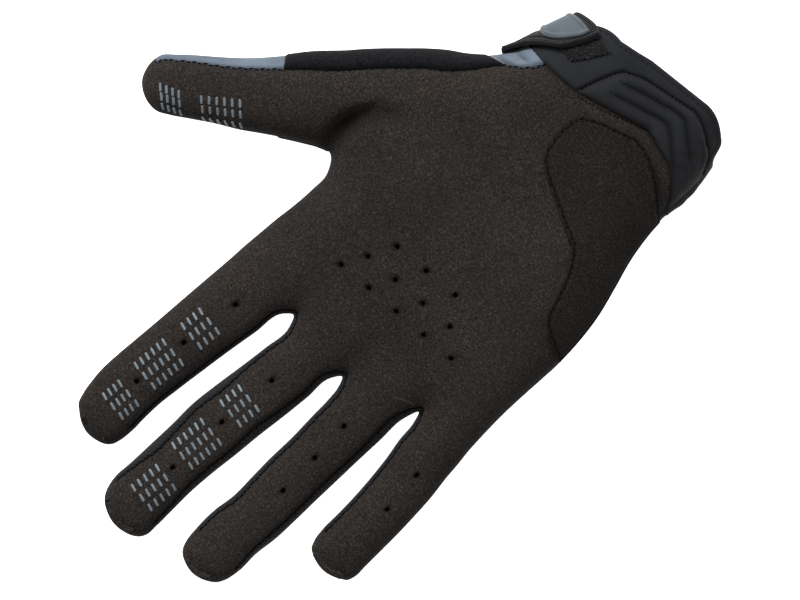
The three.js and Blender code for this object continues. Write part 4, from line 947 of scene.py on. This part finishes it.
def way_grid(rows, start, end, across, along, rounding=0):
    """Grid round the wrist's thumb side between two ways given for each row. rounding shrinks each parameter
    by the square of the other, which rounds the corners of the piece."""
    table = spline(np.column_stack([rows[:, :2] * palm_length, start, end]), 12)
    a = np.linspace(-1, 1, along + 1)[:, None]
    b = np.linspace(-1, 1, across + 1)[None]
    v = (a * np.sqrt(1 - rounding * b * b) + 1) / 2
    u = (b * np.sqrt(1 - rounding * a * a) + 1) / 2
    share = np.linspace(0, 1, len(table))
    y, far_y, first, last = (np.interp(v, share, table[:, k]) for k in range(4))
    way = first * (1 - u) + last * u
    y = y + (far_y - y) * smoothstep(way / first, 0, 1)
    return round_edge(y, way), way


def strap_lift(y, way):
    """How far the strap stands off the cuff: its looseness, or the patch that it lies on."""
    loose = across_at(y / palm_length, strap_rows[:, [3, 0]]) * smoothstep(way, -24, -10)
    return strap_gap + np.maximum(loose, over_patch * smoothstep(way, -2, 8))


# %% Strap, loop patch and badge
def welt(away):
    """Two raised ridges that run round inside the strap's rim, with a stitched valley between them."""
    ridges = .38 * bell(away - .9, .5) + .34 * bell(away - 2.5, .55)
    return ridges - .25 * bell(away - 1.7, .3) - .2 * smoothstep(away, 2.6, 3.6)


grid, way = way_grid(strap_rows, strap_rows[:, 2], np.full(len(strap_rows), strap_back), 200, 90, .1)
# Painted shade at the strap's rim and where its top drops inside the welt.
strap_rim_shade = lambda away: np.maximum(bell(away, .8), .6 * bell(away - 3.7, .7))
strap, strap_top, strap_normal = layer("closure_strap_cloth", grid, strap_lift(grid[..., 1], way),
                                       strap_thickness, .6, welt, strap_rim_shade)
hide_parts("closure_strap")
grid, way = way_grid(patch_rows, patch_rows[:, 2], patch_rows[:, 2] - patch_width, 50, 60)
patch, patch_top, patch_normal = layer("loop_patch_cloth", grid, patch_lift, patch_thickness, .4)
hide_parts("loop_patch")
badge_rim = lambda away: .22 * bell(away - 1, .4) - .12 * smoothstep(away, 1.2, 1.8)
grid, way = way_grid(badge_rows, badge_rows[:, 2], badge_rows[:, 3], 80, 60, .12)
badge_lift = strap_lift(grid[..., 1], way) + strap_thickness
badge = layer("strap_badge_rubber", grid, badge_lift, badge_thickness, .6, badge_rim)[0]
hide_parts("strap_badge")

# %% [markdown]
# Stitches, the loops of the patch and the printed grip dashes are all small round forms, repeated hundreds of
# times. One pill is made once, bent where a stitch or a loop dives into the cloth, and set down many times by
# adding its points, turned into each place's own directions, to that place.

# %% One pill, set down many times
def pill(around, rings, square=1., bend=0.):
    """A pill along x: cos and sin of two angles, each to the power square, so that a lower power is boxier.
    A bend above 0 rolls its length round an arc of that half angle, with the ends down."""
    theta = np.linspace(0, np.pi, rings + 2)[1:-1, None]
    phi = np.arange(around)[None] * 2 * np.pi / around
    power = lambda v: np.sign(v) * np.abs(v) ** square
    body = np.stack([power(np.cos(theta)) + 0 * phi, power(np.sin(theta)) * power(np.cos(phi)),
                     power(np.sin(theta)) * power(np.sin(phi))], axis=-1).reshape(-1, 3)
    points = np.concatenate([body, [(1, 0, 0), (-1, 0, 0)]])
    ring = np.arange(rings * around).reshape(rings, around)
    ahead = np.roll(ring, -1, axis=1)
    quads = np.stack([ring[:-1], ring[1:], ahead[1:], ahead[:-1]], axis=-1).reshape(-1, 4)
    tip, tail = np.full(around, rings * around), np.full(around, rings * around + 1)
    fans = np.stack([tip, ring[0], ahead[0]], axis=1), np.stack([tail, ahead[-1], ring[-1]], axis=1)
    return points, quads, np.concatenate(fans), bend


# %% Many pills in one object
def scattered(name, shape, places, half):
    """One object of many pills. places holds rows of centre, direction along, and normal; half the pill's
    half length, half width and half height in mm."""
    unit_points, quads, triangles, bend = shape
    centre, along, normal = (np.concatenate([p[k] for p in places]) for k in range(3))
    normal = unit(normal)
    across = unit(np.cross(normal, along))
    along = np.cross(across, normal)
    local = unit_points * half
    if bend:
        radius = half[0] / bend
        angle = local[:, 0] / radius
        local = np.stack([(radius + local[:, 2]) * np.sin(angle), local[:, 1],
                          (radius + local[:, 2]) * np.cos(angle) - radius], axis=1)
    points = (centre[:, None] + local[None, :, :1] * along[:, None] + local[None, :, 1:2] * across[:, None]
              + local[None, :, 2:] * normal[:, None]).reshape(-1, 3)
    base = np.arange(len(centre))[:, None, None] * len(unit_points)
    faces = (quads[None] + base).reshape(-1, 4).tolist() + (triangles[None] + base).reshape(-1, 3).tolist()
    print(f"{name}: {len(centre)} pieces, {len(faces)} faces")
    return mesh_object(name, points, faces)


# %% Places along a seam
def along_surface(way, normal):
    """Plan directions less their share along the normal."""
    flat = np.column_stack([np.broadcast_to(way, (len(normal), 2)), np.zeros(len(normal))])
    return flat - normal * (flat * normal).sum(axis=1, keepdims=True)


def sewn(line, pitch, depth, rise=None, zigzag=0):
    """Places of stitches along a plan line on the palm side: one each pitch, depth mm under the surface (or
    under the surface plus rise), stepping aside by zigzag in turn."""
    run = run_of(line)
    at = np.arange(pitch / 2, run[-1], pitch)
    way = unit(at_run(line, run, at + .3) - at_run(line, run, at - .3))
    side = np.stack([-way[:, 1], way[:, 0]], axis=1) * (zigzag * (-1) ** np.arange(len(at)))[:, None]
    p = at_run(line, run, at) + side
    normal = surface_normal(p)
    lift = (0 if rise is None else rise(p)) - depth
    centre = laid(p) + normal * np.broadcast_to(lift, len(p))[:, None]
    return centre, along_surface(unit(way + side * 2.4), normal), normal


# %% Stitches along the seams
stitch, seam_pitch, rib_pitch = pill(6, 5, .8, .5), 1.9, 1.5
sides = [*zip(stops, starts[1:]), (f"thumbR{thumb_last}", "palmR0")]
finger_seams = [sewn(seam_between(a, b), seam_pitch, .22, zigzag=.16) for a, b in sides]
seam_stitches = scattered("seam_stitches", stitch, finger_seams, (.85, .22, .2))


def inset_line(line, distance):
    """A line moved sideways, to its left, by a distance in plan."""
    way = unit(np.gradient(line, axis=0))
    return line + np.stack([-way[:, 1], way[:, 0]], axis=1) * distance


pad_outline = np.concatenate([pad_plan[0, 6:-1], pad_plan[:, -1], pad_plan[-1, -2:6:-1]])
pad_seam = inset_line(evenly(pad_outline, 400), -1.15)
pad_places = sewn(pad_seam, seam_pitch, .22 - pad_lift - pad_thickness, zigzag=.3)
pad_stitches = scattered("heel_pad_stitches", stitch, [pad_places], (.85, .26, .24))

# %% Stitches of the cuff and the strap
rib_threads = [rib_grooves[0][0], rib_grooves[1][0][:6], rib_grooves[2][0][:6]]
rib_seams = [sewn(evenly(points, 200), rib_pitch, -.05, rib_relief) for points in rib_threads]
rib_outline = np.concatenate([cuff_plan[3:ribbed_rows - 4, ribbed_columns],
                              cuff_plan[ribbed_rows, :ribbed_columns - 5][::-1]])
rib_seams.append(sewn(evenly(rib_outline, 260), rib_pitch, .1))
hem_line = inset_line(evenly(cuff_plan[-1, 8:], 200), hem_width)
rib_seams.append(sewn(hem_line, 2.1, .3))
cuff_stitches = scattered("cuff_stitches", stitch, rib_seams, (.5, .16, .15))


def on_layer(top, normal, inset, pitch, sink):
    """Places of stitches on a layer's upper side, inset mm inside its rim on the first rows and columns."""
    c, r = (round(inset / np.linalg.norm(np.diff(top, axis=k), axis=2).mean()) for k in (1, 0))
    along = lambda grid: np.concatenate([grid[r, -c:c:-1], grid[r:-r, c], grid[-r, c:-c]])
    path, normals = along(top), along(normal)
    run = run_of(path)
    at = np.arange(pitch / 2, run[-1], pitch)
    up = at_run(normals, run, at)
    return at_run(path, run, at) - up * sink, at_run(path, run, at + .3) - at_run(path, run, at - .3), up


strap_rows_of_thread = [on_layer(strap_top, strap_normal, inset, 1.15, .02) for inset in (1, 2.4)]
strap_stitches = scattered("strap_stitches", stitch, strap_rows_of_thread, (.5, .15, .14))

# %% Loops of the patch
loop_shape = pill(5, 7, 1., 1.5)
rng = np.random.default_rng(11)
loop_count, loop_scatter, loop_tilt, loop_rise = 480, .08, .3, .25
pick = rng.uniform(0, 1, (loop_count, 2)) * (np.array(patch_top.shape[:2]) - 1.001)
cell = pick.astype(int)
loop_centre = patch_top[cell[:, 0], cell[:, 1]] + rng.normal(0, loop_scatter, (loop_count, 3))
loop_normal = patch_normal[cell[:, 0], cell[:, 1]] + rng.normal(0, loop_tilt, (loop_count, 3))
loop_way = np.cross(loop_normal, rng.normal(0, 1, (loop_count, 3)))
loop_places = (loop_centre + unit(loop_normal) * loop_rise, loop_way, loop_normal)
pile_loops = scattered("loop_patch_pile", loop_shape, [loop_places], (.42, .065, .065))

# %% [markdown]
# Silicone dashes are printed on the digits that pull the brake and hold the bar. They could be a texture, but
# a print stands proud of the suede and catches the light, so each dash is a flat pill laid on the surface.

# %% Grip prints
# First and last dash of the column nearest the ulnar side, the same for the far column, dashes in a column,
# direction of a dash, all in the drawing's mm
across_finger, across_thumb = (-.97, .17), (-.77, .64)
grip_patches = [
    ((-3.5, 153.7), (-3.5, 143.4), (5, 153.7), (5, 143.4), 5, across_finger),
    ((-1.6, 134.6), (-1.6, 122.3), (7.1, 134.6), (7.1, 122.3), 6, across_finger),
    ((-1.2, 113.4), (-1.2, 105.7), (7.6, 113.4), (7.6, 105.7), 4, across_finger),
    ((25.7, 141.6), (25.7, 135), (34.2, 141.6), (34.2, 135), 4, across_finger),
    ((26.5, 127.1), (26.5, 115.1), (35.3, 127.1), (35.3, 115.1), 6, across_finger),
    ((26.8, 106.9), (26.8, 99.3), (35.3, 106.9), (35.3, 99.3), 4, across_finger),
    ((89.8, 62.2), (95.2, 65.4), (94.7, 58.8), (100.5, 61.9), 4, across_thumb),
    ((73.7, 49.7), (83.3, 57.7), (79.4, 45.3), (88.6, 54.2), 6, across_thumb)]


def dashes(first, last, far_first, far_last, count, way):
    """Places of the printed dashes of one patch: three columns, blended between the two outer ones."""
    t, s = (q.ravel()[:, None] for q in np.meshgrid(np.linspace(0, 1, count), np.linspace(0, 1, 3)))
    near = np.array(first) * (1 - t) + np.array(last) * t
    far = np.array(far_first) * (1 - t) + np.array(far_last) * t
    p = near * (1 - s) + far * s
    normal = surface_normal(p)
    return laid(p) + normal * .02, along_surface(way, normal), normal


dash_places = [dashes(*grip_patch) for grip_patch in grip_patches]
grip_prints = scattered("grip_prints", pill(8, 7, .45), dash_places, (1.45, .46, .17))

# %% [markdown]
# The materials are procedural: noise in object space for fibre and wear, waves for knit and weave.
# An image could hold a real cloth's look, but a pattern made of nodes has the same grain at every scale.
# Each panel also carries an attribute, seam, that is 1 at its sewn border, where the colour is darkened as
# pressed cloth and painted shade; painted shade in folds, grooves and round holes goes into it too.

# %% A helper for materials
class Cloth:
    """Builds one material's nodes in a few words."""

    def __init__(self, name, color, roughness, sheen=0, sheen_roughness=.5, specular=.25):
        self.material = bpy.data.materials.new(name)
        self.material.use_nodes = True
        self.tree = self.material.node_tree
        self.shader = self.tree.nodes["Principled BSDF"]
        for socket, value in (("Base Color", (*color, 1)), ("Roughness", roughness), ("Sheen Weight", sheen),
                              ("Sheen Roughness", sheen_roughness), ("Specular IOR Level", specular)):
            self.shader.inputs[socket].default_value = value
        self.place = self.node("TexCoord").outputs["Object"]

    def link(self, a, b):
        self.tree.links.new(a, b)

    def node(self, kind, **values):
        """A node of a kind, with values set on its sockets."""
        node = self.tree.nodes.new("ShaderNode" + kind)
        for socket, value in values.items():
            node.inputs[socket].default_value = value
        return node

    def noise(self, scale, detail=2, roughness=.5):
        node = self.node("TexNoise", Scale=scale, Detail=detail, Roughness=roughness)
        self.link(self.place, node.inputs["Vector"])
        return node.outputs["Fac"]

    def wave(self, scale, turn, distortion):
        turned = self.node("Mapping", Rotation=turn)
        self.link(self.place, turned.inputs["Vector"])
        node = self.node("TexWave", Scale=scale, Distortion=distortion, Detail=1)
        self.link(turned.outputs["Vector"], node.inputs["Vector"])
        return node.outputs["Fac"]

    # The attribute seam: how much the colour is darkened, as pressed cloth and painted shade.
    def seam(self):
        node = self.node("Attribute")
        node.attribute_name = "seam"
        return node.outputs["Fac"]

    def ramp(self, value, stops):
        """Colours a value by stops of place and colour, or place and grey."""
        node = self.node("ValToRGB")
        ramp = node.color_ramp
        while len(ramp.elements) < len(stops):
            ramp.elements.new(.5)
        for element, (at, color) in zip(ramp.elements, stops):
            element.position = at
            element.color = (*color, 1) if isinstance(color, tuple) else (color, color, color, 1)
        self.link(value, node.inputs["Fac"])
        return node.outputs["Color"]

    def blend(self, factor, a, b, mode="MIX"):
        """Colours a and b, each a tuple or a socket, mixed or multiplied by a factor."""
        node = self.node("Mix")
        node.data_type, node.blend_type = "RGBA", mode
        for value, socket in ((factor, node.inputs[0]), (a, node.inputs[6]), (b, node.inputs[7])):
            if isinstance(value, (int, float)):
                socket.default_value = value
            elif isinstance(value, tuple):
                socket.default_value = (*value, 1)
            else:
                self.link(value, socket)
        return node.outputs[2]

    def sum(self, a, b, factor=1):
        """a plus factor times b."""
        node = self.node("Math")
        node.operation = "MULTIPLY_ADD"
        self.link(b, node.inputs[0])
        node.inputs[1].default_value = factor
        self.link(a, node.inputs[2])
        return node.outputs[0]

    def color(self, socket, press_and_shade=None):
        """Joins a colour to the shader, blended into the darker colour where the attribute seam says so, for
        pressed cloth and painted shade.
        """
        if press_and_shade:
            socket = self.blend(self.seam(), socket, press_and_shade)
        self.link(socket, self.shader.inputs["Base Color"])

    def bump(self, socket, distance, strength):
        node = self.node("Bump", Strength=strength, Distance=distance * MM)
        self.link(socket, node.inputs["Height"])
        self.link(node.outputs["Normal"], self.shader.inputs["Normal"])

    def on(self, slot, *objects):
        """Puts the material on pieces. slot is not used."""
        for obj in objects:
            obj.data.materials.clear()
            obj.data.materials.append(self.material)


def shades(color, *factors):
    """The colour times each factor."""
    return [tuple(c * f for c in color) for f in factors]


# %% [markdown]
# Brushed suede is a felt of short fibres, matt, with dark pores, and lighter where it is worn.
# A particle system could grow the fibres, but at this distance only their speckle shows. Fine noise makes the
# speckle, in the colour and as bump, and slow noise makes the worn patches.

# %% Suede of the palm and the heel pad
def suede_cloth(name, color):
    """Brushed suede: short fibres as fine noise, pores between them, and slow patches worn lighter."""
    m = Cloth(name, color, .95, .04, .6, .1)
    nap = m.noise(1500, 4, .8)
    dark, low, high, light = shades(color, .2, .7, 1.2, 3.2)
    fibre = m.ramp(nap, [(.34, dark), (.45, low), (.55, high), (.67, light)])
    worn = m.ramp(m.noise(36, 3), [(.33, (.84, .84, .85)), (.67, (1.14, 1.12, 1.09))])
    # Where the attribute seam says so the colour darkens to .18 of itself: pressed cloth and painted shade.
    m.color(m.blend(1., fibre, worn, "MULTIPLY"), shades(color, .18)[0])
    m.bump(m.sum(nap, m.noise(420, 2), .6), .2, .8)
    return m


suede_cloth("suede", (.0205, .0172, .0150)).on("suede", palm)
suede_cloth("heel_suede", (.0130, .0104, .0092)).on("suede", pad)

# %% [markdown]
# The back is a stretch knit, the fingers' sides are an open mesh, and the cuff is neoprene with a knit face.
# Their stitches could be modelled, but they are well under a millimetre. Two crossed waves, as far apart as
# the real stitches, give the grain, and pitch and contrast tell the cloths apart.

# %% Knit, mesh and neoprene
def knit_cloth(name, color, pitch, contrast, bump, sheen=.05, press_and_shade=.35):
    """Stretch cloth: two crossed waves, a pitch apart in mm, make its stitches, and noise breaks them up."""
    m = Cloth(name, color, .85, sheen, .5, .2)
    scale = math.pi / 10 / (pitch * MM)
    weave = m.sum(m.wave(scale, (.3, 0, .7), 1.2), m.wave(scale, (0, .3, -.87), 1.2))
    shade = m.sum(weave, m.noise(700 / pitch, 4, .7), 3.2)
    dark, light = shades(color, 1 - contrast, 1 + contrast)
    cloudy = m.ramp(m.noise(70, 3, .6), [(.35, (.82, .82, .84)), (.65, (1.16, 1.16, 1.13))])
    yarn = m.ramp(shade, [(.7, dark), (1., light)])
    # Where the attribute seam says so the colour darkens by the last argument's factor: pressed cloth and
    # painted shade.
    m.color(m.blend(1., yarn, cloudy, "MULTIPLY"), shades(color, press_and_shade)[0])
    m.bump(weave, bump, .7)
    return m


def terry_cloth(name, color):
    """Terry towelling: loops as two sizes of noise, with no direction."""
    m = Cloth(name, color, 1., .05, .6, .05)
    loops = m.noise(1100, 3, .7)
    dark, light = shades(color, .35, 1.7)
    # Where the attribute seam says so the colour darkens to .3 of itself: pressed cloth and painted shade.
    m.color(m.ramp(loops, [(.38, dark), (.62, light)]), shades(color, .3)[0])
    m.bump(m.sum(loops, m.noise(500, 2), .5), .45, .9)
    return m


knit_cloth("blue_knit", (.098, .122, .155), .62, .35, .12, .1, .5).on("blue_knit", back, tip_back, gusset)
knit_cloth("black_mesh", (.0072, .0074, .0085), 1.05, .9, .35).on("black_mesh", *side_panels)
terry_cloth("terry", (.0058, .0058, .0076)).on("terry", wipe)
knit_cloth("neoprene", (.0082, .0088, .0106), .5, .45, .06, .04, .2).on("neoprene", cuff, cuff_front)

# %% Strap, pile, badge, threads and print
knit_cloth("webbing", (.0088, .0086, .0102), .45, .4, .08, .1).on("webbing", strap)
knit_cloth("loop_pile", (.002, .002, .0024), .6, .5, .1).on("loop_pile", patch)


def plain(name, color, finish, grain, tones):
    """A finish whose tone wanders between two by noise. finish: roughness, sheen, its roughness and specular
    level. grain: the noise's scale, detail and roughness. tones: the ramp's two stops."""
    m = Cloth(name, color, *finish)
    m.color(m.ramp(m.noise(*grain), tones))
    return m


plain("pile_loops", (.03, .032, .035), (.6, .1, .4, .3), (1600, 2),
      [(.42, (.003, .003, .0035)), (.62, (.06, .064, .07))]).on("loop_pile", pile_loops)
rubber = plain("badge_rubber", (.062, .078, .092), (.5, 0, .5, .3), (160, 4, .6),
               [(.3, (.052, .066, .079)), (.7, (.072, .09, .107))])
rubber.bump(rubber.noise(1400, 2), .04, .5)
rubber.on("badge_rubber", badge)
plain("grip_silicone", (.15, .185, .21), (.45, 0, .5, .4), (300, 3),
      [(.3, (.125, .155, .18)), (.7, (.175, .215, .245))]).on("badge_rubber", grip_prints)
black_thread = plain("black_thread", (.003, .003, .003), (.9, .02, .4, .05), (900, 2),
                     [(.35, (.0012, .0012, .0012)), (.7, (.005, .0046, .0044))])
black_thread.on("webbing", seam_stitches, pad_stitches, cuff_stitches)
plain("grey_thread", (.03, .03, .032), (.6, .1, .4, .3), (700, 2),
      [(.35, (.012, .012, .013)), (.65, (.06, .06, .064))]).on("webbing", strap_stitches)
print("materials:", len(bpy.data.materials))

# %% [markdown]
# The picture is taken from straight above with a long lens, on a plain white table in soft light from the
# thumb's side. The view transform is Standard, so that the cloth keeps the colours that it is given.

# %% Table, light and camera
table_half, table_drop = 4, .0004
table_mesh = bpy.data.meshes.new("table_top")
signs = ((-1, -1), (1, -1), (1, 1), (-1, 1))
table_corners = [(x * table_half, y * table_half, -table_drop) for x, y in signs]
table_mesh.from_pydata(table_corners, [], [(0, 1, 2, 3)])
table_top = bpy.data.objects.new("table_top", table_mesh)
bpy.context.scene.collection.objects.link(table_top)
table_white = Cloth("table_white", (.85, .85, .85), .9)
table_white.shader.inputs["Emission Color"].default_value = (1, 1, 1, 1)
table_white.shader.inputs["Emission Strength"].default_value = 1.1
table_top.data.materials.append(table_white.material)
table_top.visible_diffuse = False
bpy.context.scene.view_settings.view_transform = "Standard"

photo_width, photo_mm = 800, .33
view_middle = (np.array([-4.06, 46.5]) - frame_middle) * MM
camera_height, subject_height = 6.0, .015
camera = bpy.data.cameras.new("camera")
camera.sensor_width = 36
camera.lens = 36 * (camera_height - subject_height) / (photo_width * photo_mm * MM)
camera_object = bpy.data.objects.new("camera", camera)
right, up, back_way = (-.643, -.766, 0), (.766, -.643, 0), (0, 0, 1)      # the camera's own axes
spot = (*view_middle, camera_height)
camera_object.matrix_world = Matrix([*zip(right, up, back_way, spot), (0, 0, 0, 1)])
bpy.context.scene.collection.objects.link(camera_object)
bpy.context.scene.camera = camera_object
print("lens:", round(camera.lens, 1), "mm")

# %% [markdown]
# The light is a studio's: a white room, a large lamp on the thumb's side for the form, and a weak one that
# fills the shadows.
# A picture of a studio could light the glove too, but lamps have a place and a size that can be read here.

# %% Soft room and two large lamps
world = bpy.data.worlds.new("soft_room")
world.use_nodes = True
world.node_tree.nodes["Background"].inputs["Color"].default_value = (1, 1, 1, 1)
world.node_tree.nodes["Background"].inputs["Strength"].default_value = .3
bpy.context.scene.world = world


def soft_light(name, where, size, power):
    """A square lamp at a place, turned to the glove."""
    light = bpy.data.lights.new(name, "AREA")
    light.size = size
    light.energy = power
    obj = bpy.data.objects.new(name, light)
    spot = np.array(where, float)
    z = unit(spot)
    x = unit(np.cross((0, 1, .01), z))
    y = np.cross(z, x)
    obj.matrix_world = Matrix([[x[k], y[k], z[k], spot[k]] for k in range(3)] + [[0, 0, 0, 1]])
    bpy.context.scene.collection.objects.link(obj)


soft_light("key_light", (2, -.9, 1.9), 1.2, 108)
soft_light("fill_light", (-1.2, -.6, 2.6), 1.6, 10)
print("lamps:", [light.name for light in bpy.data.lights])
